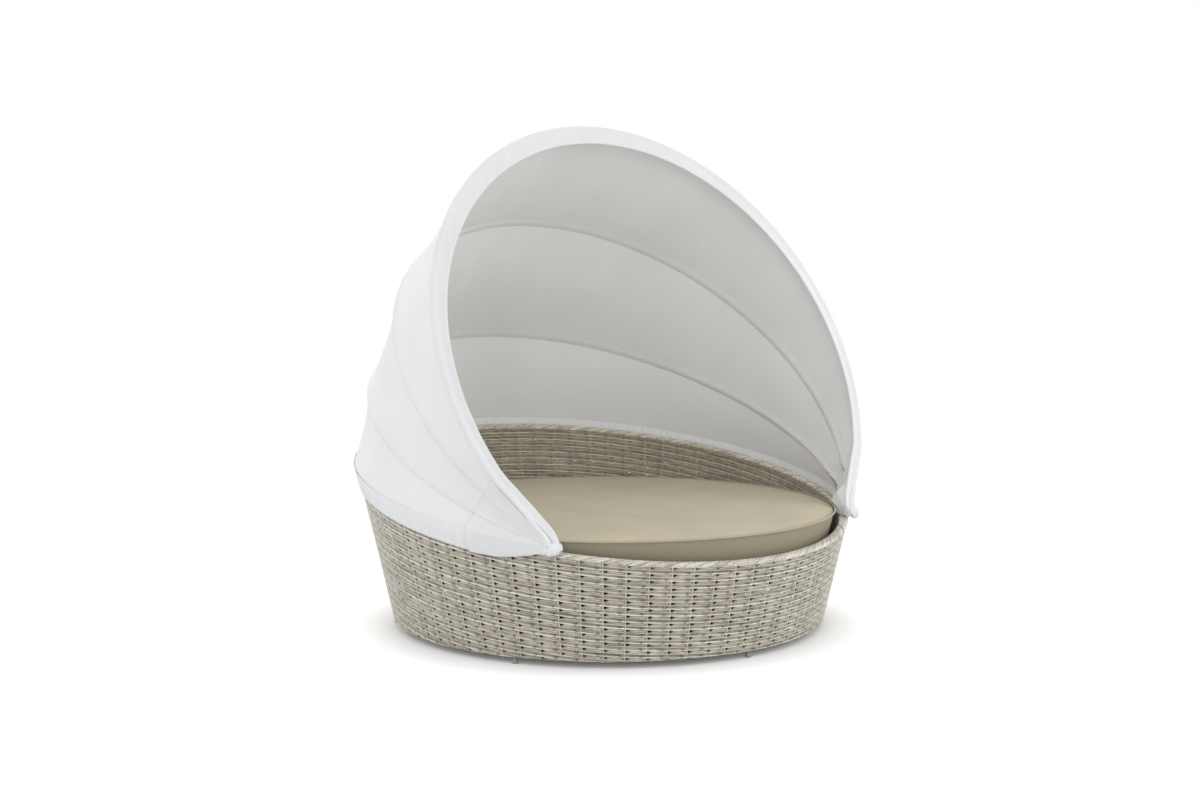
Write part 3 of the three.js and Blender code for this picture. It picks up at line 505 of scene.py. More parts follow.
random = np.random.default_rng(7)


def strand_turns():
    """The turns about Z of every step of a strand, ten in each cell."""
    cell = np.arange(CELLS)[:, None] + STEP_PLACES[None, :]
    return (cell / CELLS * 2 * np.pi).ravel()


def tone_attribute(piece, tones):
    """Keeps one number for each point: how pale the cane is there, painted highlight and painted shade
    included.
    """
    attribute = piece.data.attributes.new("tone", "FLOAT", "POINT")
    attribute.data.foreach_set("value", np.asarray(tones, np.float32).ravel())


def repeat_grid(faces, places, count, size, cell, shift):
    """The faces of many equal grids of size points each, and their UV places: a grid's places
    times the cell's size in metres, shifted for each grid so that no two look the same."""
    offset = np.arange(count)[:, None, None] * size
    return faces[None] + offset, places * np.array(cell) + shift[:, None, None, :]


def strands_piece(name, points, finish, step, shift, tones):
    """Many equal strands as one mesh, from points[strand, step, corner] and their tones."""
    count, steps, corners = points.shape[:3]
    faces, places = grid_faces(steps, corners, wrap_columns=True)
    faces, uv = repeat_grid(faces, places, count, steps * corners, (step, STRAND_UV), shift)
    piece = make_piece(name, points, faces.reshape(-1, 4), finish, uv.reshape(-1, 4, 2))
    tone_attribute(piece, np.broadcast_to(tones, points.shape[:3]))
    return piece


def weave_band(name, finish, cells, cell_line, place, middle, outward, lowest, open_share=1.0):
    """A band of woven cells as one mesh.

    cell_line(cell, turn) gives the height of a cell's first strand, place(turn, inset, height)
    a point of the wall, middle is the inset of the weave's middle, outward is -1 where the
    weave faces away from the axis and 1 where it faces it. Faces under the lowest height are
    left out. open_share makes the holes smaller.
    """
    turns = strand_turns() * -outward
    steps, corners = len(turns), len(STRAND_OUTLINE)
    cell_numbers = np.arange(*cells)
    count = len(cell_numbers) * len(STRANDS)
    down, width, paths, sunk, pale, moved, narrow, pinched = (
        np.stack([np.broadcast_to(strand[k], (len(STEP_PLACES),)) for strand in STRANDS])
        for k in range(8))
    moved, narrow, pinched = (values * open_share for values in (moved, narrow, pinched))

    def every(values):
        """The same values in each cell of each row."""
        return np.tile(values, (len(cell_numbers), CELLS))

    row = np.repeat(cell_numbers, len(STRANDS))[:, None]
    pitch = cell_line(row, turns) - cell_line(row + 1, turns)
    slow = np.repeat(random.normal(0, 1, (count, CELLS)), len(STEP_PLACES), axis=1)
    wander = WEAVE_WANDER * (slow + np.roll(slow, len(STEP_PLACES) // 2, axis=1)) / 2
    centre = cell_line(row, turns) - pitch * (every(down + moved * HOLE) + wander)
    tight = every(width * (1 - narrow * HOLE) * (1 - pinched * PINCH))
    height = centre[..., None] + (pitch * tight)[..., None] * STRAND_OUTLINE[:, 1]
    lift = every(paths) * WEAVE_DEPTH - every(sunk + WEAVE_DEPTH * narrow * HOLE)
    inset = middle + outward * (lift[..., None] - STRAND_OUTLINE[:, 0] * STRAND_THICKNESS)
    points = place(turns[None, :, None], inset, height)
    # Paleness per strand, random tone, and a painted highlight on the crowns.
    tones = every(pale) + random.normal(0, ROW_TONES, (count, 1)) + CROWN_PAINTED_HIGHLIGHT * every(paths)
    cell_tones = random.normal(0, CELL_TONES, (count, CELLS))
    tones = tones + np.repeat(cell_tones, len(STEP_PLACES), axis=1)
    # Painted shade: the cane is darker beside the holes and in the pinches.
    tones = tones - every(HOLE_PAINTED_SHADE * narrow * HOLE + PINCH_PAINTED_SHADE * pinched * PINCH)
    tones = np.repeat(tones[..., None], corners, axis=-1)
    faces, places = grid_faces(steps, corners, wrap_rows=True, wrap_columns=True)
    shown = centre > lowest
    keep = shown[:, faces[:, 0] // corners] & shown[:, faces[:, 2] // corners]
    shift = np.stack([row[:, 0] * 0.37, np.arange(count) * 0.0931], -1)
    faces, uv = repeat_grid(faces, places, count, steps * corners,
                            (2 * np.pi * RIM_RADIUS / steps, STRAND_UV), shift)
    used, compact = np.unique(faces[keep], return_inverse=True)
    piece = make_piece(name, points.reshape(-1, 3)[used], compact.reshape(-1, 4), finish,
                       uv[keep])
    tone_attribute(piece, tones.ravel()[used])
    return piece

# %% [markdown]
# ### Outer wall
# The rows follow the rim at the top. Lower down they tilt less, and so they run nearly level at
# the foot. There the strands turn round a small bend and go in under the bottom ring.

# %% Outer wall
BORDER_DROP = 0.0105              # from the rim plane to the middle of the first row
CELL_DROP = 0.02792               # from cell to cell, on the base's axis
CELL_EASE = 0.00424               # how much less each lower cell slopes
FOOT_BEND = 0.006                 # radius of the bend at the foot
FOOT_TURN_IN = 0.020              # how far the strands go in under the bottom ring


def cell_height(cell, turn, drop, ease):
    """Height of a cell: a plane through the wall, lower and less steep for each lower cell.

    A plane z = level + slope * radius meets the cone radius = axis radius + flare * z there.
    """
    level = RIM_HEIGHT - BORDER_DROP - cell * drop
    slope = (RIM_SLOPE - cell * ease) * np.sin(turn)
    return (level + slope * (FOOT_RADIUS - WALL_FLARE * FOOT_HEIGHT)) / (1 - slope * WALL_FLARE)


def outer_cell(cell, turn):
    """Height of an outer cell."""
    return cell_height(cell, turn, CELL_DROP, CELL_EASE)


def outer_place(turn, inset, height):
    """A point of the outer wall that goes round the bend at the foot and then inwards."""
    past = np.maximum(FOOT_HEIGHT + FOOT_BEND - height, 0)
    angle = np.minimum(past / FOOT_BEND, np.pi / 2)
    reach = FOOT_BEND - inset
    base_height = np.maximum(height, FOOT_HEIGHT + FOOT_BEND)
    straight = past - angle * FOOT_BEND
    bent_inset = FOOT_BEND - reach * np.cos(angle) + straight
    return wall_spot(turn, bent_inset, base_height - reach * np.sin(angle))


WEAVE_MIDDLE = 0.0026             # of the weave under the wall's face
OUTER_LOWEST = FOOT_HEIGHT + FOOT_BEND - FOOT_TURN_IN
outer_bands = [
    weave_band(f"outer_weave_{band + 1}", cane_outer, cells, outer_cell, outer_place,
               WEAVE_MIDDLE, -1, OUTER_LOWEST)
    for band, cells in enumerate(((0, 7), (7, 14), (14, 24)))]
print("outer weave:", [len(piece.data.polygons) for piece in outer_bands], "faces")

# %% [markdown]
# ### Inner wall
# Inside, the rows follow the rim all the way down to the seat. The pattern is mirrored, because
# it is seen from the other side.

# %% Inner wall
INNER_CELL = 0.0249               # from cell to cell, on the base's axis
INNER_OPEN = 0.3                  # share of the outer holes' size


def inner_cell(cell, turn):
    """Height of an inner cell: all keep the rim's slope."""
    return cell_height(cell, turn, INNER_CELL, 0.0)


INNER_MIDDLE = INNER_FACE - WEAVE_MIDDLE
INNER_LOWEST = SEAT_HEIGHT - 0.010
inner_bands = [
    weave_band(f"inner_weave_{band + 1}", cane_inner_painted_shade, cells, inner_cell, wall_spot,
               INNER_MIDDLE, 1, INNER_LOWEST, INNER_OPEN)
    for band, cells in enumerate(((0, 6), (6, 15)))]
print("inner weave:", [len(piece.data.polygons) for piece in inner_bands], "faces")

# %% [markdown]
# ### Stakes
# The stakes are flat canes from the rim to the foot. Where a row passes behind the second stake
# of a pair, that stake shows as a short pale stub beside the hole. The first stake of each
# pair, where the rows pinch in, is painted darker: painted shade.

# %% Stakes
STAKE_WIDTH = 0.0052
STAKE_THICKNESS = 0.0013
STAKE_TOP = 0.008                 # of the stakes under the rim plane
FIRST_STAKE_PAINTED_SHADE = 0.75           # painted shade: how much darker the first stake of a pair is, in the pinch


def stakes(name, finish, place, middle, outward, bottom, count):
    """All stakes of one wall: a flat section carried down the wall at each stake's turn."""
    turns = (np.arange(CELLS)[:, None] + np.array(STAKE_PLACES)).ravel() / CELLS
    turns = turns * 2 * np.pi * -outward
    top = rim_spot(turns, 0.0, STAKE_TOP)[:, 2]
    side = STRAND_OUTLINE[:, 1] * STAKE_WIDTH / RIM_RADIUS
    height = mix(top[:, None, None], bottom, np.linspace(0, 1, count)[None, :, None])
    inset = middle - outward * STRAND_OUTLINE[:, 0] * STAKE_THICKNESS
    points = place(turns[:, None, None] + side, inset, height)
    shift = np.stack([turns * 3.1, turns * 1.7], -1)
    tones = random.uniform(0.65, 0.95, len(turns))
    # Painted shade: the first stake of each pair, in the pinch, is darker.
    tones = tones - FIRST_STAKE_PAINTED_SHADE * (np.arange(len(turns)) % 2 == 0)
    return strands_piece(name, points, finish, 0.03, shift, tones[:, None, None])


outer_stakes = stakes("outer_stakes", cane_outer, outer_place, WEAVE_MIDDLE, -1,
                      OUTER_LOWEST + 0.001, 24)
inner_stakes = stakes("inner_stakes", cane_inner_painted_shade, wall_spot, INNER_MIDDLE, 1, INNER_LOWEST, 12)
print("stakes:", 2 * CELLS, "on each wall")

# %% [markdown]
# ### Braided border
# At the rim the stakes bend over sideways and run across the top, several side by side, which
# makes a rolled border. Each one is a strand that climbs the outside, crosses the top on a
# slant and goes down inside. The border lies on a plain channel over the rim tube.

# %% Border
BORDER_PROFILE = np.array([       # inset from the outside of the wall, drop from the rim plane
    [0.0042, 0.0140], [0.0010, 0.0112], [0.0000, 0.0080], [0.0008, 0.0046], [0.0034, 0.0018],
    [0.0078, 0.0004], [0.0130, 0.0000], [0.0200, 0.0000], [0.0252, 0.0004], [0.0294, 0.0018],
    [0.0320, 0.0046], [0.0328, 0.0080], [0.0318, 0.0112], [0.0286, 0.0140]])
BORDER_STRANDS = CELLS * 8
BORDER_ADVANCE = 1.5              # cells that a strand runs along the rim as it crosses
BORDER_STEPS = 22
BORDER_WIDTH = 0.0047
BORDER_THICKNESS = 0.0020
BORDER_WAVE = 0.0007              # how far neighbouring strands rise over and under each other


def border_braid(name, finish):
    """Slanting strands over the rim: each runs along the profile while it turns about Z."""
    share = np.linspace(0, 1, BORDER_STEPS)
    lengths = path_lengths(BORDER_PROFILE)
    where, step = share * lengths[-1], 0.02 * lengths[-1]
    spot, ahead, behind = (spots_along(BORDER_PROFILE, lengths, where + move)
                           for move in (0.0, step, -step))
    direction = unit(ahead - behind)
    advance = BORDER_ADVANCE / CELLS * 2 * np.pi
    strand = np.arange(BORDER_STRANDS)[:, None]
    starts = strand / BORDER_STRANDS * 2 * np.pi
    slant = np.arctan2(lengths[-1], advance * RIM_RADIUS)
    weave = BORDER_WAVE * np.sin(share * 3 * np.pi + strand % 2 * np.pi)
    side = STRAND_OUTLINE[:, 1] * BORDER_WIDTH
    normal = np.stack([direction[:, 1], -direction[:, 0]], axis=-1)   # away from the tube
    lift = weave[..., None] - STRAND_OUTLINE[:, 0] * BORDER_THICKNESS
    over = spot[:, None, :] + normal[:, None, :] * lift[..., None]
    over = over + direction[:, None, :] * (side * np.cos(slant))[:, None]
    turns = starts[..., None] + advance * share[:, None] - side * np.sin(slant) / RIM_RADIUS
    points = rim_spot(turns, over[..., 0], over[..., 1])
    tones = random.uniform(0.42, 1.10, (BORDER_STRANDS, 1)) + random.normal(
        0, 0.10, (BORDER_STRANDS, BORDER_STEPS))
    return strands_piece(name, points, finish, 0.006, starts * 5.3, tones[..., None])


border = border_braid("rim_border_braid", cane_outer)
print("border:", BORDER_STRANDS, "strands")

# %% [markdown]
# ## The cushion
# The cushion is a round foam pad: two panels, a band between them, and piping in both seams. The
# band leans out as the wall beside it does. Its profile is turned round the axis and given an
# even skin of small squares. Then the skin is blown up as cloth that the seams and the underside
# hold, so that the top crowns and the band swells as a sewn cover does over foam.

# %% Cushion profile
CUSHION_RADII = (0.802, 0.833)    # over the lower and the upper piping
CUSHION_THICKNESS = 0.139
CUSHION_BOTTOM = SEAT_HEIGHT + 0.0003
PIPING_RADIUS = 0.0035
SEAM_INSET = 0.0035               # of the seams from the middle of the piping
SEAM_HEIGHTS = (CUSHION_BOTTOM + PIPING_RADIUS,
                CUSHION_BOTTOM + CUSHION_THICKNESS - PIPING_RADIUS)
SEAM_RADII = tuple(radius - PIPING_RADIUS - SEAM_INSET for radius in CUSHION_RADII)
CUSHION_SIDES = 288


def cushion_profile(crown, swell):
    """Radius and height from the middle of the underside, out, up the band and in to the top.

    crown is how far the middle of the top lies over the seam, swell how far the band stands out.
    """
    under = np.linspace(0, 1, 60)
    bottom = np.stack([SEAM_RADII[0] * under,
                       CUSHION_BOTTOM + PIPING_RADIUS * under ** 40], -1)
    rise = np.linspace(0, 1, 26)
    band = np.stack([mix(*SEAM_RADII, rise) + swell * np.sin(np.pi * rise) ** 0.6,
                     mix(*SEAM_HEIGHTS, rise)], -1)
    inward = np.linspace(0, 1, 80)
    height = crown * (1 - (1 - inward) ** 2) ** 0.7
    top = np.stack([SEAM_RADII[1] * (1 - inward), SEAM_HEIGHTS[1] + height], -1)
    return np.concatenate([bottom, band[1:-1], top])


def turned_faces(sides, ring):
    """Faces of a turned solid: a grid round the axis, and four-cornered caps at both poles."""
    faces, _ = grid_faces(sides, ring, wrap_rows=True)
    low = sides * ring
    edge = np.arange(0, sides, 2)
    caps = []
    for centre, column, turned in ((low, 0, False), (low + 1, ring - 1, True)):
        rim = [((edge + k) % sides) * ring + column for k in range(3)]
        cap = np.stack([np.full(len(edge), centre), rim[0], rim[1], rim[2]], -1)
        caps.append(cap[:, ::-1] if turned else cap)
    return np.concatenate([faces] + caps)


def turned_piece(name, profile, sides, finish):
    """A closed solid turned about the Z axis from a profile whose ends lie on the axis."""
    turns = np.linspace(0, 2 * np.pi, sides, endpoint=False)[:, None]
    ring = profile[1:-1]
    points = polar(ring[:, 0], turns, ring[:, 1])
    points = np.concatenate([points.reshape(-1, 3), [[0, 0, profile[0, 1]]],
                             [[0, 0, profile[-1, 1]]]])
    return make_piece(name, points, turned_faces(sides, len(ring)), finish)


# %% Cushion skin and swelling
SKIN_CELL = 0.010
SKIN_PRESSURE = 4.0
MOST_SWELL = 0.010                # the limit of how far the simulation moves a point


def even_skin(piece, cell):
    """Replaces a closed piece's mesh by one of even squares, with the modifier applied."""
    remesh = piece.modifiers.new("skin", "REMESH")
    remesh.mode = "VOXEL"
    remesh.voxel_size = cell
    remesh.use_smooth_shade = True
    bare = bpy.data.meshes.new_from_object(
        piece.evaluated_get(bpy.context.evaluated_depsgraph_get()))
    finishes = list(piece.data.materials)
    piece.modifiers.clear()
    piece.data = bare
    piece.data.materials.clear()
    for finish in finishes:
        piece.data.materials.append(finish)
    bare.polygons.foreach_set("material_index", np.zeros(len(bare.polygons), np.int32))


def piece_points(mesh):
    """A mesh's points as an array."""
    flat = np.empty(len(mesh.vertices) * 3, np.float32)
    mesh.vertices.foreach_get("co", flat)
    return flat.reshape(-1, 3).astype(float)


def swell(piece, held, pressure, most, frames=20):
    """Blows a piece up as cloth, holds some points and limits how far the others move.

    A point that the cloth moves by d ends up moved by most * tanh(d / most).
    """
    before = piece_points(piece.data)
    group = piece.vertex_groups.new(name="held")
    group.add(np.flatnonzero(held).tolist(), 1.0, "REPLACE")
    cloth = piece.modifiers.new("swell", "CLOTH")
    cloth.settings.use_pressure = True
    cloth.settings.uniform_pressure_force = pressure
    cloth.settings.effector_weights.gravity = 0.0
    cloth.settings.vertex_group_mass = "held"
    for frame in range(1, frames + 1):
        bpy.context.scene.frame_set(frame)
    blown = piece.evaluated_get(bpy.context.evaluated_depsgraph_get())
    move = piece_points(blown.data) - before
    piece.modifiers.clear()
    piece.vertex_groups.clear()
    bpy.context.scene.frame_set(1)
    length = np.maximum(np.linalg.norm(move, axis=1, keepdims=True), 1e-9)
    limited = before + move * (most * np.tanh(length / most) / length)
    piece.data.vertices.foreach_set("co", limited.astype(np.float32).ravel())
    piece.data.update()
    print("swelling:", round(float(length.max()) * 1000, 1), "mm before the limit")


crown, band_swell = ((0.003, 0.000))
cushion = turned_piece("round_cushion", cushion_profile(crown, band_swell), CUSHION_SIDES, taupe)
even_skin(cushion, SKIN_CELL)
skin = piece_points(cushion.data)
reach = np.hypot(skin[:, 0], skin[:, 1])
held = skin[:, 2] < CUSHION_BOTTOM + 0.002
for radius, height in zip(SEAM_RADII, SEAM_HEIGHTS):
    held = held | (np.hypot(reach - radius, skin[:, 2] - height) < SKIN_CELL)
swell(cushion, held, SKIN_PRESSURE, MOST_SWELL)
smooth = cushion.modifiers.new("smooth", "SUBSURF")
smooth.levels = smooth.render_levels = 1
print("cushion:", len(cushion.data.polygons), "faces before smoothing")

# %% Cushion piping
def ring_cord(name, radius, height, thickness, finish, sides=10, steps=360):
    """A thin ring of piping: a circle of small radius carried round the Z axis."""
    turns = np.linspace(0, 2 * np.pi, steps, endpoint=False)[:, None]
    angle = np.linspace(0, 2 * np.pi, sides, endpoint=False)[None, :]
    points = polar(radius + thickness * np.cos(angle), turns, height + thickness * np.sin(angle))
    faces, _ = grid_faces(steps, sides, wrap_rows=True, wrap_columns=True)
    return make_piece(name, points, faces, finish)


piping = [ring_cord(f"cushion_piping_{name}", radius - PIPING_RADIUS, height, PIPING_RADIUS,
                    piping_fabric_painted_shade)
          for name, radius, height in zip(("low", "high"), CUSHION_RADII, SEAM_HEIGHTS)]
print("piping:", len(piping), "rings")

# %% [markdown]
# ## The canopy's bows
# The three bows turn about one pivot axis near the front of the rim. Each lies in a plane
# through that axis and is an ellipse there. Near the pivots they are flat straps that nest side
# by side. The cloth follows them, so the same formulas give its edges.

# %% Bows
PIVOT_Y = -0.59299
PIVOT_HEIGHT = 0.40400
PIVOT_REACH = 0.65851             # sideways to the middle of the nested straps
NUT_OUTER = 0.67841               # sideways to the end of the cap nuts
CLOTH_INSET = 0.009               # from the cloth's outside to a bow's centre line
CLOTH_THICKNESS = 0.0016
NUT_COVER = NUT_OUTER + 0.003 + CLOTH_THICKNESS            # sideways to the cloth over the nuts
CLOTH_START = 0.046               # the cloth starts this far from the pivot axis
CLOTH_LIFT = 0.017                # of the cloth outside the nested straps
NEST_LOW, NEST_HIGH = 0.165, 0.260
EYE_FLAT, EYE_BEND = 0.013, 0.028
BOWS = {                          # lean in degrees, reach sideways, rise and centre of ellipse
    "front": (26.4, 0.905, 0.935, 0.640),
    "mid": (46.5, 0.896, 0.918, 0.650),
    "back": (66.6, 0.884, 0.948, 0.647),
}


def ellipse_reach(bow, height, outset):
    """How far a bow's ellipse reaches sideways at a height along its plane."""
    _, reach, rise, centre = BOWS[bow]
    share = np.clip(np.abs(height - centre) / (rise + outset), 0, 1)
    return (reach + outset) * np.sqrt(1 - share ** 2)


def nest_reach(height):
    """How far the nested straps reach: the mid bow's ellipse, eased to upright at the pivot."""
    bend_end = EYE_FLAT + 2 * EYE_BEND
    middle = (EYE_FLAT + bend_end) / 2

    def eased(value):
        """Level up to the flat, then a parabola that meets the straight line."""
        bent = middle + (value - EYE_FLAT) ** 2 / (2 * (bend_end - EYE_FLAT))
        return np.where(value < EYE_FLAT, middle, np.where(value > bend_end, value, bent))

    ends = [ellipse_reach("mid", eased(np.asarray(value, float)), -CLOTH_INSET)
            for value in (height, 0.0)]
    return PIVOT_REACH + ends[0] - ends[1]


def bow_line(bow, share, outset=0.0, side=0.0, start=CLOTH_START):
    """Sideways reach and height in a bow's plane, from the right end at 0 to the left at 1."""
    _, reach, rise, centre = BOWS[bow]
    first = np.arcsin((start - centre) / (rise + outset))
    turn = mix(first, np.pi - first, share)
    height = centre + (rise + outset) * np.sin(turn)
    own = ellipse_reach(bow, height, outset)
    nested = mix(nest_reach(height) + side, own, smooth_step(height, NEST_LOW, NEST_HIGH))
    return np.sign(np.cos(turn)) * np.where(height < NEST_HIGH, nested, own), height


def on_plane(across, height, lean, forward=0.0):
    """The point at a reach and height on a plane through the pivot axis that leans back."""
    turn = np.radians(lean)
    return stack(across, PIVOT_Y + height * np.sin(turn) - forward * np.cos(turn),
                 PIVOT_HEIGHT + height * np.cos(turn) + forward * np.sin(turn))


def over_hinge(points, outset=0.0):
    """Moves cloth sideways where it would lie on the pivot's nuts."""
    near = smooth_step(PIVOT_Y - points[..., 1], -0.120, -0.060)
    short = np.maximum(0, NUT_COVER + outset - np.abs(points[..., 0]))
    moved = points.copy()
    moved[..., 0] += np.sign(points[..., 0]) * short * near
    return moved

# %% [markdown]
# ## The canopy's panels
# The canopy is three shaped panels, sewn together over the bows, with the bows in narrow
# pockets. The cloth is taut: straight across from bow to bow, and drawn in a little between
# them. Beside each bow it dips to the seam, and a few creases cross it where it was folded.
#
# Each panel is a grid. Its columns stand close together beside the bows, where the ridge and
# the seam need them, and wide apart between. Creases and seams move the grid along its normal.

# %% Panel surface between two bows
CLOTH_SAG = 0.013


def between_bows(fore, aft, along, share, outset=0.0, lift=CLOTH_LIFT, start=CLOTH_START):
    """Points between two bows, at a share along them and a share of the way across.

    Reach and height are mixed from the two bows. The height is stretched to the chord between
    them, and both are drawn in by the sag, which is greatest in the middle.
    """
    (fore_across, fore_height), (aft_across, aft_height) = (
        bow_line(bow, along, outset, lift + outset, start) for bow in (fore, aft))
    fore_lean, _, rise, fore_centre = BOWS[fore]
    aft_lean, _, _, aft_centre = BOWS[aft]
    span = np.radians(aft_lean - fore_lean)
    chord = np.cos(span / 2) / np.cos((share - 0.5) * span)
    centre = mix(fore_centre, aft_centre, share)
    drawn = 1 - CLOTH_SAG / rise * 4 * share * (1 - share) * np.sin(np.pi * along)[:, None]
    height = mix(fore_height[:, None], aft_height[:, None], share)
    across = mix(fore_across[:, None], aft_across[:, None], share)
    lifted = np.where(height > centre, drawn, 1.0)
    points = on_plane(across * drawn, (centre + (height - centre) * lifted) * chord,
                      mix(fore_lean, aft_lean, share))
    return points, span * (fore_height + aft_height) / 2, fore_height


def outward_normals(points, axis=None):
    """Grid normals that point away from the middle, or with the side's sign along one axis."""
    normals = grid_normals(points)
    if axis is None:
        inside_out = np.sum(normals * (points - points.mean(axis=(0, 1)))) < 0
    else:
        inside_out = np.sum(normals[..., axis] * np.sign(points[..., axis])) < 0
    return -normals if inside_out else normals


def surface_uv(points, across):
    """Lengths in metres along the grid's middle column, and the given places across it."""
    return stack(path_lengths(points[:, points.shape[1] // 2])[:, None], across)


# %% Ridges, seams and creases
PANEL_STEPS = 560
SEAM_OFFSET = 0.0068              # from a bow's plane to the seam beside it
SEAM_DEPTH, SEAM_WIDTH = 0.0014, 0.0011
RIDGE_DEPTH, RIDGE_WIDTH = 0.0050, 0.0090
EDGE_COLUMNS = np.array([0, 1.5, 3, 4.4, 5.4, 6.2, 6.8, 7.4, 8.2, 9.2, 10.5, 12, 14, 17, 21, 27,
                         35, 46]) / 1000
MIDDLE_COLUMNS = 30
SEWN_STRIP = 0.015                # of cloth beside a bow that turns with it


def column_distances(width):
    """Distances from the first bow of a panel's columns, for a panel so wide at each station."""
    scale = np.minimum(1, width / (3 * EDGE_COLUMNS[-1]))[:, None]
    first = EDGE_COLUMNS[None, :] * scale
    share = np.linspace(0, 1, MIDDLE_COLUMNS + 2)[None, 1:-1]
    middle = mix(first[:, -1:], width[:, None] - first[:, -1:], share)
    return np.concatenate([first, middle, width[:, None] - first[:, ::-1]], axis=1)


def dip(distance):
    """How far the cloth lies under the top of the bow, at a distance beside it."""
    return RIDGE_DEPTH * (1 - np.exp(-(distance / RIDGE_WIDTH) ** 2))


def seam_line(distance):
    """The fine groove of the seam that runs beside a bow."""
    return SEAM_DEPTH * np.exp(-((distance - SEAM_OFFSET) / SEAM_WIDTH) ** 2)


def ridge_share(height):
    """The ridges over the bows fade out towards the pivots, where the straps are flat."""
    return smooth_step(height, 0.10, 0.24)[:, None]


def turning_share(share, width):
    """A point's share of the turn between two bows.

    A strip beside each bow is sewn to its pocket and turns with it, and between the two strips
    the share grows evenly.
    """
    width = np.broadcast_to(width, share.shape)
    strip = np.minimum(SEWN_STRIP, 0.2 * width)
    return np.clip((share * width - strip) / np.maximum(width - 2 * strip, 1e-6), 0, 1)


def crease(along, across, place, reach, depth, steep, gentle, lean):
    """A fold across a panel: steep on one side of its line, gentle on the other.

    The line leans as it crosses the panel, and the fold fades towards its two ends.
    """
    middle, half = (reach[0] + reach[1]) / 2, (reach[1] - reach[0]) / 2
    off = along - place - lean * (across - middle)
    fade = np.clip(1 - ((across - middle) / half) ** 2, 0, 1)
    width = np.where(off > 0, steep, gentle)
    rounding = 0.35 * min(abs(steep), abs(gentle))
    return depth * fade * np.exp((rounding - np.sqrt(off ** 2 + rounding ** 2)) / width)


FRONT_CREASES = [                 # place along, reach across, depth, steep and gentle side, lean
    (0.549, (0.10, 1.00), 0.0125, 0.0050, 0.0170, 0.006),
    (0.461, (0.20, 1.00), 0.0095, 0.0045, 0.0140, 0.006),
    (0.388, (0.20, 1.00), 0.0110, 0.0080, 0.0150, 0.006),
    (0.325, (0.45, 0.92), 0.0050, 0.0045, 0.0120, 0.006),
    (0.640, (0.10, 0.80), 0.0040, 0.0050, 0.0120, -0.010),
    (0.600, (0.00, 0.45), 0.0040, 0.0040, 0.0090, -0.020),
]
MID_CREASES = [
    (0.502, (0.10, 0.92), 0.0105, 0.0055, 0.0130, -0.004),
    (0.559, (0.20, 0.92), 0.0095, 0.0050, 0.0120, -0.004),
    (0.447, (0.20, 0.70), 0.0055, 0.0040, 0.0090, -0.004),
    (0.422, (0.30, 0.75), 0.0036, 0.0030, 0.0070, 0.010),
    (0.400, (0.20, 0.75), 0.0050, 0.0042, 0.0090, -0.004),
    (0.365, (0.30, 0.85), 0.0034, 0.0036, 0.0080, 0.004),
]


def panel_grid(fore, aft, creases):
    """Outer surface of the cloth between two bows, its share of the turn, UV map, normals."""
    along = np.linspace(0, 1, PANEL_STEPS)
    _, width, _ = between_bows(fore, aft, along, np.zeros((1, 1)))
    distance = column_distances(width)
    share = distance / width[:, None]
    points, _, height = between_bows(fore, aft, along, share)
    normals = outward_normals(points)
    near = np.minimum(distance, width[:, None] - distance)
    depth = (dip(near) + seam_line(near)) * ridge_share(height)
    for fold in creases:
        depth = depth + crease(along[:, None], share, *fold)
    turned = turning_share(share, width[:, None])
    return points - normals * depth[..., None], turned, surface_uv(points, distance), normals


# %% Turning with two bodies
def blend_by(piece, near_body, far_body, weights):
    """Lets the cloth turn with two bodies, each point by its own weight of the far one."""
    first = np.array(piece.data.vertices[0].co)
    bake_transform(piece, near_body, far_body, start=tuple(first), end=tuple(first + 1.0))
    attribute = piece.data.attributes["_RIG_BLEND"]
    attribute.data.foreach_set("value", np.asarray(weights, np.float32).ravel())


def both_sides(weights):
    """The weights of a cloth piece's points: the same for its outer and its inner side."""
    return np.concatenate([weights, weights], axis=1)


# %% Front and mid panels
def hung_cloth(name, points, uv, normals):
    """A cloth piece that passes over the pivots' nuts, and its inner grid."""
    inner = over_hinge(points - normals * CLOTH_THICKNESS, -CLOTH_THICKNESS)
    return cloth_piece(name, over_hinge(points), inner, uv), inner


panels, panel_grids = {}, {}      # panel_grids: inner grid and weights of the points


def add_panel(name, points, share, uv, normals):
    """Makes a panel and keeps its inner grid and the weights of its two bodies."""
    panels[name], inner = hung_cloth(f"canopy_cloth_{name}", points, uv, normals)
    panel_grids[name] = (inner, both_sides(1 - share))
    print(f"{name} panel:", len(panels[name].data.polygons), "faces")


add_panel("front", *panel_grid("front", "mid", FRONT_CREASES))
add_panel("mid", *panel_grid("mid", "back", MID_CREASES))

# %% [markdown]
# ### Back panel and hem
# From the back bow the cloth runs down to a stitched line just above the rim. Below that line
# an elastic hem grips the woven wall, gathered in small ripples. Towards the pivots the hem's
# edge rises to the rim.

# %% Back panel
HEM_END = 0.74176                 # radians past the base's side that the hem runs to a pivot
HEM_HEIGHT = 0.025                # of the stitch line over the rim plane
HEM_STAND_OFF = 0.009             # of the cloth's outside from the weave


def hem_turn(along):
    """The turn about Z at a share of the hem, from the right pivot round the back."""
    return mix(-HEM_END, np.pi + HEM_END, along)


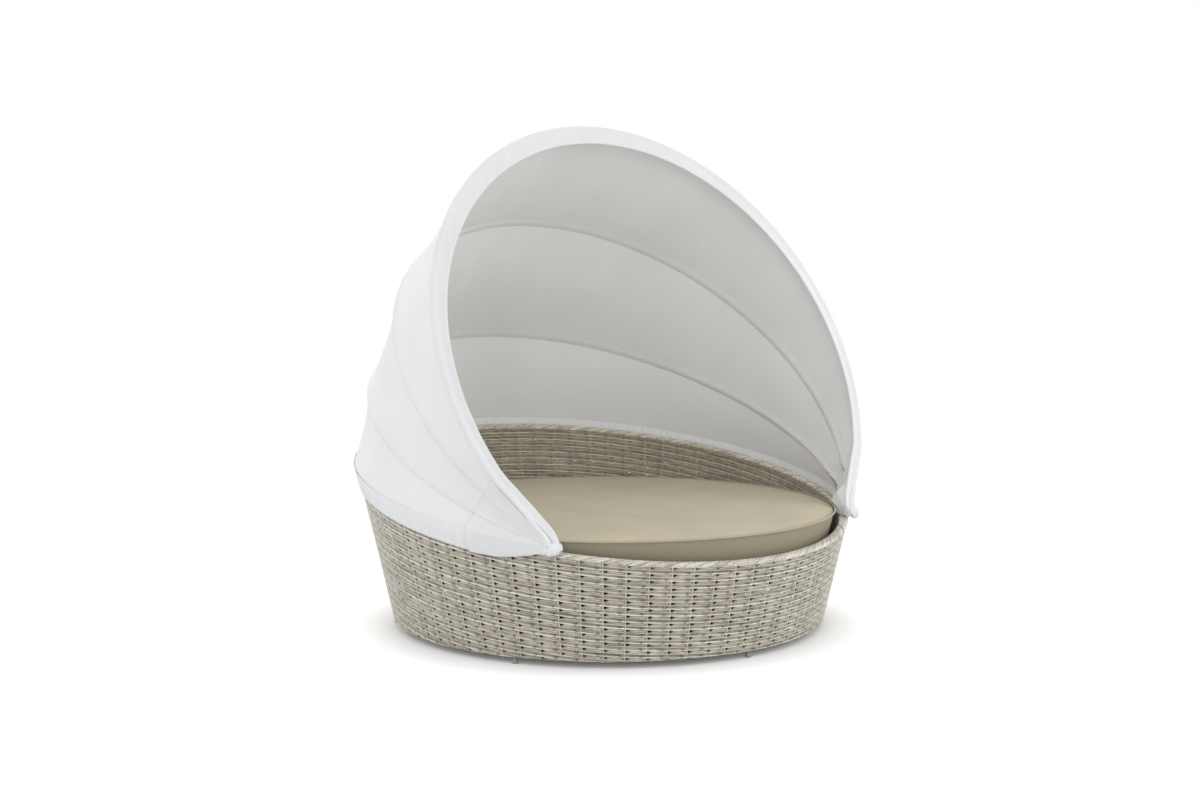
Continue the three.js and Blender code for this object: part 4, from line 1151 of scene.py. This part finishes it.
def back_grid():
    """The cloth from the back bow down to the stitch line: straight, then drawn in a little."""
    along = np.linspace(0, 1, PANEL_STEPS)
    across, height = bow_line("back", along, 0.0, CLOTH_LIFT)
    top = on_plane(across, height, BOWS["back"][0])
    low = over_hinge(rim_spot(hem_turn(along), -HEM_STAND_OFF, -HEM_HEIGHT))
    distance = column_distances(np.linalg.norm(top - low, axis=-1))
    share = distance / distance[:, -1:]
    points = mix(top[:, None, :], low[:, None, :], share[..., None])
    reach_in = 4 * share * (1 - share) * np.sin(np.pi * along)[:, None]
    drawn = 1 - CLOTH_SAG / BOWS["back"][2] * reach_in
    points = points * np.where(np.arange(3) < 2, drawn[..., None], 1.0)
    normals = outward_normals(points)
    depth = (dip(distance) + seam_line(distance)) * ridge_share(height)
    turned = turning_share(share, distance[:, -1:])
    return points - normals * depth[..., None], turned, surface_uv(points, distance), normals


add_panel("back", *back_grid())

# %% Hem
HEM_DROP = 0.050                  # of the hem's lower edge under the rim plane
HEM_EDGE = np.array([             # Y, drop of the hem's edge there
    [-0.603, -0.030], [-0.557, 0.002], [-0.490, 0.027], [-0.430, 0.043], [-0.340, HEM_DROP]])
HEM_STEPS = 1300
HEM_ROWS = 17
HEM_RIPPLES = 178
HEM_WAVE, HEM_SMALL_WAVE = 0.0028, 0.0012     # height of the ripples, and of slower ones
HEM_EDGE_OFF = 0.0044             # of the hem's lower edge from the weave
HEM_ROLL, HEM_STITCH = 0.0010, 0.0011         # height of the edge's roll, depth of the stitches


def hem_grid():
    """The gathered hem: ripples that start at the stitch line and grow towards the edge."""
    along = np.linspace(0, 1, HEM_STEPS)[:, None]
    down = np.linspace(0, 1, HEM_ROWS)[None, :]
    turn = hem_turn(along)
    low = np.interp(rim_spot(turn, 0.0, 0.0)[..., 1], HEM_EDGE[:, 0], HEM_EDGE[:, 1])
    top = np.minimum(-HEM_HEIGHT, low - 0.004)
    phase = along * HEM_RIPPLES * 2 * np.pi
    spots = np.linspace(0, 1, 130)
    wander = np.interp(along, spots, random.uniform(-1.6, 1.6, 130))
    size = np.interp(along, spots, random.uniform(0.15, 1.0, 130))
    wave = HEM_WAVE * np.sin(phase + wander * 2) * size * down ** 0.5
    wave = wave + HEM_SMALL_WAVE * np.sin(phase * 0.47 + wander * 5) * down
    hug = mix(HEM_STAND_OFF, HEM_EDGE_OFF, down ** 2)
    roll = HEM_ROLL * np.exp(-((down - 0.93) / 0.05) ** 2)
    stitch = HEM_STITCH * np.exp(-((down - 0.04) / 0.025) ** 2)
    points = rim_spot(turn, -(hug + wave + roll - stitch), mix(top, low, down))
    length = 2 * (np.pi / 2 + HEM_END) * RIM_RADIUS * along
    return points, stack(length, down * (HEM_DROP + HEM_HEIGHT)), outward_normals(points)


hem, _ = hung_cloth("canopy_hem", *hem_grid())
print("hem:", len(hem.data.polygons), "faces")

# %% [markdown]
# ### Front sleeve
# A folded strip of cloth runs along the front edge. It wraps the front bow and reaches inward
# to a soft rolled edge, wide at the crown and narrow at the sides, and it ends at the pivots.
# At the upper left it is a little slack and has a few slanting wrinkles.

# %% Front sleeve
LIP_STEPS = 620
LIP_START = 0.010                 # the sleeve starts this far from the pivot axis
LIP_CROWN_WIDTH, LIP_SIDE_WIDTH = 0.078, 0.044
LIP_OVER_NUT = 0.0125             # how much further out the sleeve lies over the cap nuts
LIP_PIVOT_EXTRA = 0.005           # how much wider it is there
LIP_THICKNESS = 0.0013
WRINKLE_HEIGHT = 0.0016
WRINKLE_WIDTH = 0.0055            # share of the sleeve's length
LIP_BACK = np.array([             # section over the bow: depth inward, forward of its middle
    [0.0018, -0.0030], [0.0002, 0.0006], [0.001, 0.0045], [0.0035, 0.0075], [0.009, 0.0088],
    [0.0145, 0.0078], [0.020, 0.0060], [0.027, 0.0052]])
LIP_EDGE = np.array([             # rolled edge: share of the sleeve's width, forward
    [0.62, 0.0070], [0.80, 0.0105], [0.92, 0.0128], [0.98, 0.0115], [1.0, 0.0085],
    [0.985, 0.0052], [0.93, 0.0030], [0.80, 0.0020], [0.62, -0.0005]])


def lip_profile(width):
    """Corners of the sleeve's section: depth inward from the cloth, and forward of the bow."""
    return np.concatenate([LIP_BACK, LIP_EDGE * [width, 1], LIP_BACK[:0:-1] * [1, -1]])


def resample(profile, count):
    """A profile's points at even spacing along a smooth line through its corners."""
    lengths = path_lengths(profile)
    line = spots_along(profile, lengths, np.linspace(0, lengths[-1], 6 * count))
    kernel = np.hanning(13)[1:-1]
    kernel = kernel / kernel.sum()
    padded = np.pad(line, ((5, 5), (0, 0)), mode="reflect", reflect_type="odd")
    line = np.stack([np.convolve(padded[:, k], kernel, mode="valid") for k in range(2)], -1)
    return line[np.linspace(0, len(line) - 1, count).round().astype(int)]


def lip_lift(height):
    """How much further out the sleeve lies, which grows towards the pivots' cap nuts."""
    return LIP_OVER_NUT * (1 - smooth_step(height, 0.05, 0.13))


def lip_extra(height):
    """How much wider the sleeve is, which grows towards the pivots."""
    return LIP_PIVOT_EXTRA * (1 - smooth_step(height, 0.04, 0.16))


def lip_wrinkles(along, depth):
    """Slanting wrinkles of the sleeve: soft ridges at random places, mostly at the upper left."""
    height = np.zeros(np.broadcast(along, depth).shape)
    places = np.concatenate([random.uniform(0.54, 0.80, 11), random.uniform(0.08, 0.95, 12)])
    sizes = np.concatenate([random.uniform(0.6, 1.6, 11), random.uniform(0.2, 0.6, 12)])
    leans = random.uniform(-0.5, 0.9, len(places))
    for place, size, lean in zip(places, sizes, leans):
        off = along - place - lean * (depth - 0.035)
        height = height + WRINKLE_HEIGHT * size * np.exp(-(off / WRINKLE_WIDTH) ** 2)
    return height * smooth_step(depth, 0.010, 0.030)


def lip_grid(count=44):
    """The sleeve's section carried along the front bow."""
    along = np.linspace(0, 1, LIP_STEPS)
    _, line_height = bow_line("front", along, start=LIP_START)
    line_across, line_height = bow_line("front", along, 0.0, CLOTH_LIFT + lip_lift(line_height),
                                        LIP_START)
    line = np.stack([line_across, line_height], axis=-1)
    tangent = unit(np.gradient(line, axis=0))
    inward = np.stack([-tangent[:, 1], tangent[:, 0]], axis=-1)
    width = mix(LIP_SIDE_WIDTH, LIP_CROWN_WIDTH, np.sin(np.pi * along) ** 2)
    sections = np.stack([resample(lip_profile(w), count) for w in width + lip_extra(line_height)])
    place = np.arange(count) / count
    front_side = smooth_step(place, 0.02, 0.10) * (1 - smooth_step(place, 0.46, 0.60))
    wrinkled = lip_wrinkles(along[:, None], sections[..., 0]) * front_side
    spot = line[:, None, :] + inward[:, None, :] * sections[..., :1]
    points = on_plane(spot[..., 0], spot[..., 1], BOWS["front"][0], sections[..., 1] + wrinkled)
    return points, surface_uv(points, np.linspace(0, 0.18, count)[None, :])


points, uv = lip_grid()
front_lip = cloth_piece("canopy_front_sleeve", points,
                        points - grid_normals(points) * LIP_THICKNESS, uv)
print("front sleeve:", len(front_lip.data.polygons), "faces")

# %% [markdown]
# ### Pockets
# Inside the canopy a strip is sewn under each bow, so the bow runs in a flat pocket. It shows as
# a low soft rib with two fine lines of stitches. Its edges lie on the two panels beside it, so
# they are taken from the panels' own grids.

# %% Pockets
POCKET_END = 0.215                # the pockets end this far from the pivot axis
POCKET_EDGE = 14                  # the panels' column where a pocket's edge lies
POCKET_APEX = 0.0157              # of the pocket's middle under the cloth's outside
POCKET_STITCH = 0.36              # of the half width, from the middle to the lines of stitches
POCKET_CLEAR = 0.0004
POCKET_THICKNESS = 0.0009
STITCH_DEPTH, STITCH_WIDTH = 0.0013, 0.045    # depth, and width as a share of the half width


def pocket_grid(bow, fore, aft):
    """A strip from the panel before a bow to the one behind it, raised over the bow."""
    along = np.linspace(0, 1, PANEL_STEPS)
    _, height = bow_line(bow, along)
    rows = np.flatnonzero(height > POCKET_END)
    first = panel_grids[fore][0][rows, -1 - POCKET_EDGE]
    last = panel_grids[aft][0][rows, POCKET_EDGE]
    across, height = bow_line(bow, along, -POCKET_APEX, 0.0)
    apex = on_plane(across, height, BOWS[bow][0])[rows]
    place = np.concatenate([np.linspace(0, 0.28, 6)[:-1], np.linspace(0.28, 0.44, 9)[:-1],
                            np.linspace(0.44, 1.0, 10)])
    place = np.concatenate([-place[:0:-1], place])[None, :, None]
    flat = mix(first[:, None], last[:, None], (place + 1) / 2)
    raised = (apex - (first + last) / 2)[:, None]
    groove = np.exp(-((np.abs(place) - POCKET_STITCH) / STITCH_WIDTH) ** 2)
    length = np.linalg.norm(raised, axis=-1, keepdims=True)
    bulge = np.cos(np.pi / 2 * place) ** 1.3
    points = flat + raised * (bulge + (POCKET_CLEAR - STITCH_DEPTH * groove) / length)
    return points, surface_uv(points, place[..., 0] * 0.016)


pockets = {}
for bow, fore, aft in (("mid", "front", "mid"), ("back", "mid", "back")):
    points, uv = pocket_grid(bow, fore, aft)
    pockets[bow] = cloth_piece(f"canopy_pocket_{bow}", points,
                               points - outward_normals(points) * POCKET_THICKNESS, uv)
print("pockets:", list(pockets))

# %% [markdown]
# ### Corner caps
# At each pivot a second layer of canvas covers the hinge outside and inside, and the sleeve and
# the hem end in it. A cap is made in sectors about the pivot axis, one between each two bows
# and one from the back bow to the hem, so that each sector can turn with its two neighbours. A
# round end closes it: it is turned about the same axis, so it fits at every angle.

# %% Cap sectors
CAP_RADIUS = 0.257                # from the pivot axis to the caps' outer edge
CAP_START = 0.004
CAP_LIFT = 0.0030                 # of a cap's outside over the panels
CAP_EDGE_LIFT = 0.0013            # the same at its sewn edge
CAP_THICKNESS = 0.0010
CAP_STEPS, CAP_COLUMNS = 64, 36
LINING_CLEAR = 0.0012             # of the lining's sewn edge inside the panels
RIB_HEIGHT, RIB_WIDTH = 0.0155, 0.015         # of the lining where it passes over a bow
TUCK_FORWARD = 0.007              # how far the front lining runs under the sleeve
CAP_INNER_REACH = 0.6400          # sideways to the inside layer at the pivot, clear of the bracket
CAP_BESIDE_WALL = 0.6505          # sideways to just outside the wall at the pivot


def cap_shares(bow):
    """Shares along a bow from the cap's start to its outer edge."""
    _, _, rise, centre = BOWS[bow]
    first, last = (np.arcsin((height - centre) / rise) for height in (CAP_START, CAP_RADIUS))
    return np.linspace(0, (last - first) / (np.pi - 2 * first), CAP_STEPS)


def lining_bag(height):
    """How far the lining hangs in from the panels, most near the pivots' hardware."""
    return mix(0.034, 0.018, smooth_step(height, 0.08, 0.20))


def at_pivot(height):
    """1 at the pivot axis, 0 from 0.12 m off: there the lining is flat beside the bracket."""
    return 1 - smooth_step(height, 0.05, 0.12)


def cap_sector(fore, aft, side, inside):
    """The panels' surface near a pivot, moved out over the nuts or in over the straps."""
    along = cap_shares(fore)
    along = along if side > 0 else 1 - along
    share = np.linspace(0, 1, CAP_COLUMNS)[None, :]
    points, width, height = between_bows(fore, aft, along, share, start=CAP_START)
    distance = np.minimum(share, 1 - share) * width[:, None]
    dipped = dip(distance) * ridge_share(height)
    turned = turning_share(share * np.ones_like(dipped), width[:, None])
    normals = outward_normals(points, axis=0)
    if not inside:
        lift = mix(CAP_LIFT, CAP_EDGE_LIFT, smooth_step(height, 0.20, CAP_RADIUS)[:, None])
        points = over_hinge(points + normals * (lift - dipped)[..., None], CAP_LIFT)
        return points, turned, normals
    rib = RIB_HEIGHT * np.exp(-(distance / RIB_WIDTH) ** 2)
    depth = mix(lining_bag(height)[:, None], dipped + CLOTH_THICKNESS + LINING_CLEAR + rib,
                smooth_step(height, 0.16, 0.24)[:, None])
    points = points - normals * depth[..., None]
    points[..., 0] = mix(points[..., 0], side * CAP_INNER_REACH, at_pivot(height)[:, None])
    if fore == "front":           # tucks in under the sleeve's rolled edge
        tuck = 1 - smooth_step(distance * (share < 0.5) + (share >= 0.5), 0.0, 0.030)
        lean = np.radians(BOWS[fore][0])
        forward = np.array([0.0, -np.cos(lean), np.sin(lean)])
        points = points + tuck[..., None] * forward * TUCK_FORWARD
        sleeve = bow_line(fore, along, 0.0, CLOTH_LIFT, CAP_START)[0]
        sleeve = (sleeve + side * (lip_lift(height) - lip_extra(height)))[:, None]
        edge = sleeve - side * (LIP_SIDE_WIDTH - 0.004)
        low = 1 - smooth_step(height, 0.022, 0.040)[:, None]
        points[..., 0] = mix(points[..., 0], mix(edge, points[..., 0], low), tuck)
    return points, turned, normals


# %% Lowest sectors of the caps
CAP_EDGE = np.array([             # distance from the pivot axis, lean of the cap's lower edge
    [0.000, 150], [0.018, 138], [0.038, 113], [0.107, 105.6], [0.166, 101.8], [0.206, 98.6],
    [0.257, 95.7]])


def beside_wall(radius, lean, stand_off):
    """How far the wall's outside reaches sideways at a place about the axis, plus a stand-off."""
    place = on_plane(0.0, radius, lean)
    wall = wall_radius(place[..., 2]) ** 2 - place[..., 1] ** 2
    return np.sqrt(np.maximum(wall, 0)) + stand_off


def rim_lean(radius, lift, least):
    """The lean at which a circle about the pivot axis meets the rim plane raised by lift.

    Across the slope the plane lies (lift + rim) * cos(slope) from the axis, and that over the
    radius is the cosine of the lean plus the slope's angle. least is the smallest cosine used.
    """
    slope = np.arctan(RIM_SLOPE)
    rise = (lift + RIM_HEIGHT + RIM_SLOPE * PIVOT_Y - PIVOT_HEIGHT) / radius
    return np.degrees(np.arccos(np.clip(rise * np.cos(slope), least, 1))) - np.degrees(slope)


def low_sector(side, inside):
    """From the back bow over the stitch line to the hem's edge, in polar places about the axis.

    Between the back bow and the stitch line the reach is mixed; below, it follows the wall.
    """
    across, height = bow_line("back", cap_shares("back"), 0.0, CLOTH_LIFT, CAP_START)
    across, radius = across[:, None], height[:, None]
    back_lean = BOWS["back"][0]
    stitch = np.maximum(rim_lean(radius, HEM_HEIGHT, -1), back_lean + 4)
    rim = np.maximum(rim_lean(radius, 0.003, -0.6), stitch + 2)
    edge = np.interp(radius, CAP_EDGE[:, 0], CAP_EDGE[:, 1])
    end = rim if inside else np.maximum(edge, stitch + 6)
    share = np.linspace(0, 1, CAP_COLUMNS)[None, :]
    lean = mix(back_lean, end, share)
    to_stitch = np.clip((lean - back_lean) / (stitch - back_lean), 0, 1)
    if inside:
        low = beside_wall(radius, lean, mix(-0.030, -0.012, smooth_step(radius, 0.05, 0.20)))
        reach = mix(across - lining_bag(radius), beside_wall(radius, stitch, 0.0045), to_stitch)
        reach = mix(reach, low, smooth_step(lean, stitch, np.maximum(end, stitch + 1)))
        reach = mix(reach, CAP_INNER_REACH, at_pivot(radius))
    else:
        flat_edge = smooth_step(radius, 0.20, CAP_RADIUS)
        off = HEM_STAND_OFF + mix(0.0048, 0.0030, flat_edge)
        bow = across + mix(CAP_LIFT, CAP_EDGE_LIFT, flat_edge)
        reach = mix(mix(bow, beside_wall(radius, stitch, off), to_stitch),
                    beside_wall(radius, lean, off), to_stitch >= 1)
        reach = reach - 0.0035 * smooth_step(share, 0.80, 1.0)
    points = on_plane(side * reach, radius, lean)
    if not inside:
        points = over_hinge(points, CAP_LIFT)
    turned = turning_share(to_stitch, radius * np.radians(stitch - back_lean))
    return points, turned, outward_normals(points, axis=0)


# %% Round ends of the caps
CAP_END_RADIUS = 0.021
CAP_SIDES = 96


def cap_end(name, side, layers):
    """A thin dish turned about the pivot axis: layers(lean) gives its radii and its reaches."""
    lean = np.linspace(-180, 180, CAP_SIDES, endpoint=False)
    radius, reach = layers(lean)
    ring = on_plane(side * reach, radius, lean[:, None])
    poles = on_plane(side * np.array([reach[0, 0], reach[0, -1]]), np.zeros(2), 0.0)
    points = np.concatenate([ring.reshape(-1, 3), poles])
    return make_piece(name, points, turned_faces(CAP_SIDES, radius.shape[1]), canvas)


def outer_dish(lean):
    """Outside the nuts: a disc whose rim turns in over the straps in front, above the border."""
    cover = NUT_COVER + CAP_LIFT - 0.0012
    front = smooth_step(lean, -112, -88) * (1 - smooth_step(lean, -12, 2))
    beside = smooth_step(lean, -165, -140) * (1 - smooth_step(lean, -12, 2))
    end = mix(cover - 0.006, CAP_BESIDE_WALL, beside)
    end = mix(end, CAP_INNER_REACH, front)[:, None]
    outside = np.array([[0.3, 0.0], [0.7, 0.0002], [0.9, 0.0012], [0.98, 0.0032], [1.0, 0.0058]])
    radius = np.concatenate([outside[:, 0], [1.0, 1.0]]) * CAP_END_RADIUS
    reach = cover - np.concatenate([outside[:, 1], [0, 0]]) + 0 * end
    reach[:, -2], reach[:, -1] = mix(cover - 0.0058, end[:, 0], 0.5), end[:, 0]
    inner_radius = radius[::-1] - 0.0011
    inner_reach = reach[:, ::-1] - np.array([0, 0, 0, 0.0004, 0.0009, 0.0011, 0.0011])
    radii = np.concatenate([radius, inner_radius])[None, :] + 0 * end
    return radii, np.concatenate([reach, inner_reach], axis=1)


def inner_dish(lean):
    """Inside the bracket: a flat disc, cut short below, where the border runs."""
    ring = mix(CAP_END_RADIUS, 0.0135, smooth_step(np.abs(lean), 100, 130))[:, None]
    radii = ring * np.array([0.3, 0.7, 0.95, 1.0, 0.95, 0.7, 0.3])
    reach = CAP_INNER_REACH - np.array([0.0034, 0.0030, 0.0010, -0.0002, -0.0002, 0.0018, 0.0022])
    return radii, reach + 0 * radii


# %% Corner caps
caps = []                         # piece, its two bodies, weights of the second body
BOW_BODIES = {"front": "front_bow", "mid": "mid_bow", "back": "back_bow"}
for side, side_name in ((-1, "left"), (1, "right")):
    for layer, inside in (("", False), ("_lining", True)):
        thick = CAP_THICKNESS * (-1 if inside else 1)
        for fore, aft in (("front", "mid"), ("mid", "back"), ("back", "base")):
            points, share, normals = (low_sector(side, inside) if fore == "back" else
                                      cap_sector(fore, aft, side, inside))
            piece = cloth_piece(f"canopy_patch_{side_name}_{fore}{layer}", points,
                                points - normals * thick, surface_uv(points, share * 0.09))
            caps.append((piece, BOW_BODIES.get(aft, "base"), BOW_BODIES[fore],
                         both_sides(1 - share), side_name))
    for layer, layers in (("", outer_dish), ("_lining", inner_dish)):
        piece = cap_end(f"canopy_patch_{side_name}_end{layer}", side, layers)
        caps.append((piece, None, "front_bow", None, side_name))
print("corner caps:", len(caps), "pieces")

# %% [markdown]
# ## What each piece stands for, and what it moves with
# The woven pieces, the cushion and the hem stay with the base. Each panel turns with its two
# bows, every point by its own share of the way between them.

# %% Bodies and replaced solids
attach(hem, "base")
for slot, pieces in (("weave_outer", outer_bands + [outer_stakes, border]),
                     ("weave_inner", inner_bands + [inner_stakes]),
                     ("cushion", [cushion] + piping)):
    for piece in pieces:
        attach(piece, "base")
for piece, node_name in ((outer_bands[0], "woven_outer_skin"), (inner_bands[0], "woven_inner_skin"),
                         (border, "woven_rim_border"), (cushion, "seat_cushion"),
                         (hem, "canopy_hem_band"), (front_lip, "canopy_front_lip")):
    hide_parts(node_name)

PANEL_BODIES = {"front": ("mid_bow", "front_bow"), "mid": ("back_bow", "mid_bow"),
                "back": ("base", "back_bow")}
for name, piece in panels.items():
    blend_by(piece, *PANEL_BODIES[name], panel_grids[name][1])
    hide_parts(f"canopy_{name}_panel")
for piece, near_body, far_body, weights, side_name in caps:
    if near_body:
        blend_by(piece, near_body, far_body, weights)
    else:
        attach(piece, far_body)
    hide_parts(f"canopy_corner_patch_{side_name}")
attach(front_lip, "front_bow")
for bow, pocket in pockets.items():
    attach(pocket, BOW_BODIES[bow])
cloth_pieces = list(panels.values()) + [hem, front_lip] + list(pockets.values())
cloth_pieces += [piece for piece, *_ in caps]
print("cloth pieces:", len(cloth_pieces))

# %% [markdown]
# ### Flat sizes
# Each sheet is cut flat before it is sewn. The panels, the pockets and the caps are pulled taut
# over the bows, the sleeve is folded over the front bow, and the hem is gathered by its elastic.
# Here the sizes are not kept: the cell below only passes over the cloth pieces and skips
# the caps' round ends.

# %% Sheets
dishes = {piece.name: piece for piece, *_ in caps if "_end" in piece.name}
for piece in cloth_pieces:
    if piece.name in dishes:
        continue

# %% [markdown]
# ## Floor and light
# The photograph is a product shot on white. The floor is pale and takes a soft shadow; to the
# camera it also gives some light of its own, so it meets the white background without an edge.
# Near the base that light is left out, which paints a soft shadow round it.

# %% Floor and world
WHITE = (1, 1, 1, 1)
FLOOR_GLOW = 0.42                 # light of its own that the camera sees outside the shadow
PAINTED_SHADOW_INNER, PAINTED_SHADOW_OUTER = 0.66, 0.94             # distances from the axis between which it grows; nearer the base it is missing: painted shadow
WHITE_FROM, WHITE_FULL = 1.5, 3.0             # the same for the turn to plain white
FLOOR_HALF, FLOOR_DROP = 60.0, 0.0005
WORLD_LIGHT = 0.84


def bare_tree(owner):
    """The owner's shader tree, emptied."""
    owner.use_nodes = True
    owner.node_tree.nodes.clear()
    return owner.node_tree


floor_finish = bpy.data.materials.new("studio_floor")
tree = bare_tree(floor_finish)
place = add_node(tree, "TexCoord").outputs["Object"]
reach = add_node(tree, "VectorMath", {0: place}, operation="LENGTH").outputs["Value"]
# Painted shadow: near the base the camera sees no glow, so the floor looks darker there.
glow_with_painted_shadow = add_node(tree, "MapRange", {
    "Value": reach, "From Min": PAINTED_SHADOW_INNER, "From Max": PAINTED_SHADOW_OUTER, "To Max": FLOOR_GLOW})
far = add_node(tree, "MapRange", {
    "Value": reach, "From Min": WHITE_FROM, "From Max": WHITE_FULL},
    interpolation_type="SMOOTHSTEP")
diffuse = add_node(tree, "BsdfDiffuse", {"Color": (0.80, 0.80, 0.80, 1.0)}).outputs[0]
glow = add_node(tree, "Emission", {"Color": WHITE, "Strength": glow_with_painted_shadow.outputs["Result"]})
plain = add_node(tree, "Emission", {"Color": WHITE, "Strength": 1.0})
both = add_node(tree, "AddShader", {0: diffuse, 1: glow.outputs[0]})
faded = add_node(tree, "MixShader", {
    "Fac": far.outputs["Result"], 1: both.outputs[0], 2: plain.outputs[0]})
path = add_node(tree, "LightPath")
seen = add_node(tree, "MixShader", {
    "Fac": path.outputs["Is Camera Ray"], 1: diffuse, 2: faded.outputs[0]})
add_node(tree, "OutputMaterial", {"Surface": seen.outputs[0]})
floor_corners = np.array([[-1, -1, 0], [1, -1, 0], [1, 1, 0], [-1, 1, 0]]) * FLOOR_HALF
floor = make_piece("studio_floor", floor_corners, np.array([[0, 1, 2, 3]]), floor_finish)
floor.location.z = -FLOOR_DROP

world = bpy.data.worlds.new("studio")
bpy.context.scene.world = world
tree = bare_tree(world)
soft, white = (add_node(tree, "Background", {"Color": WHITE, "Strength": strength}).outputs[0]
               for strength in (WORLD_LIGHT, 1.0))
path = add_node(tree, "LightPath").outputs
direct = path["Is Camera Ray"]
for kind in ("Is Glossy Ray", "Is Transmission Ray"):
    direct = add_node(tree, "Math", {0: direct, 1: path[kind]}, operation="MAXIMUM").outputs[0]
mixed = add_node(tree, "MixShader", {"Fac": direct, 1: soft, 2: white})
add_node(tree, "OutputWorld", {"Surface": mixed.outputs[0]})

# %% Lamps
LAMPS = {                         # place, height of its target on the axis, size, watts
    "left": ((-4.8, 1.5, 3.0), 0.6, 3.0, 32),
    "right": ((4.2, -3.2, 2.6), 0.5, 2.5, 50),
    "back": ((1.0, 3.5, 4.0), 0.8, 3.0, 45),
    "front": ((-2.0, -6.0, 2.2), 0.8, 3.0, 32),
}


def area_light(name, place, aim, size, power):
    """A square lamp that faces a point at height aim on the Z axis."""
    data = bpy.data.lights.new(name, "AREA")
    data.shape = "SQUARE"
    data.size = size
    data.energy = power
    lamp = bpy.data.objects.new(name, data)
    lamp.location = place
    away = np.array(place, float) - np.array((0, 0, aim), float)
    yaw = np.arctan2(away[1], away[0])
    pitch = np.arctan2(np.hypot(away[0], away[1]), away[2])
    lamp.rotation_euler = (0.0, float(pitch), float(yaw))
    bpy.context.collection.objects.link(lamp)


for name, settings in LAMPS.items():
    area_light(name, *settings)
bpy.context.scene.view_settings.view_transform = "Standard"
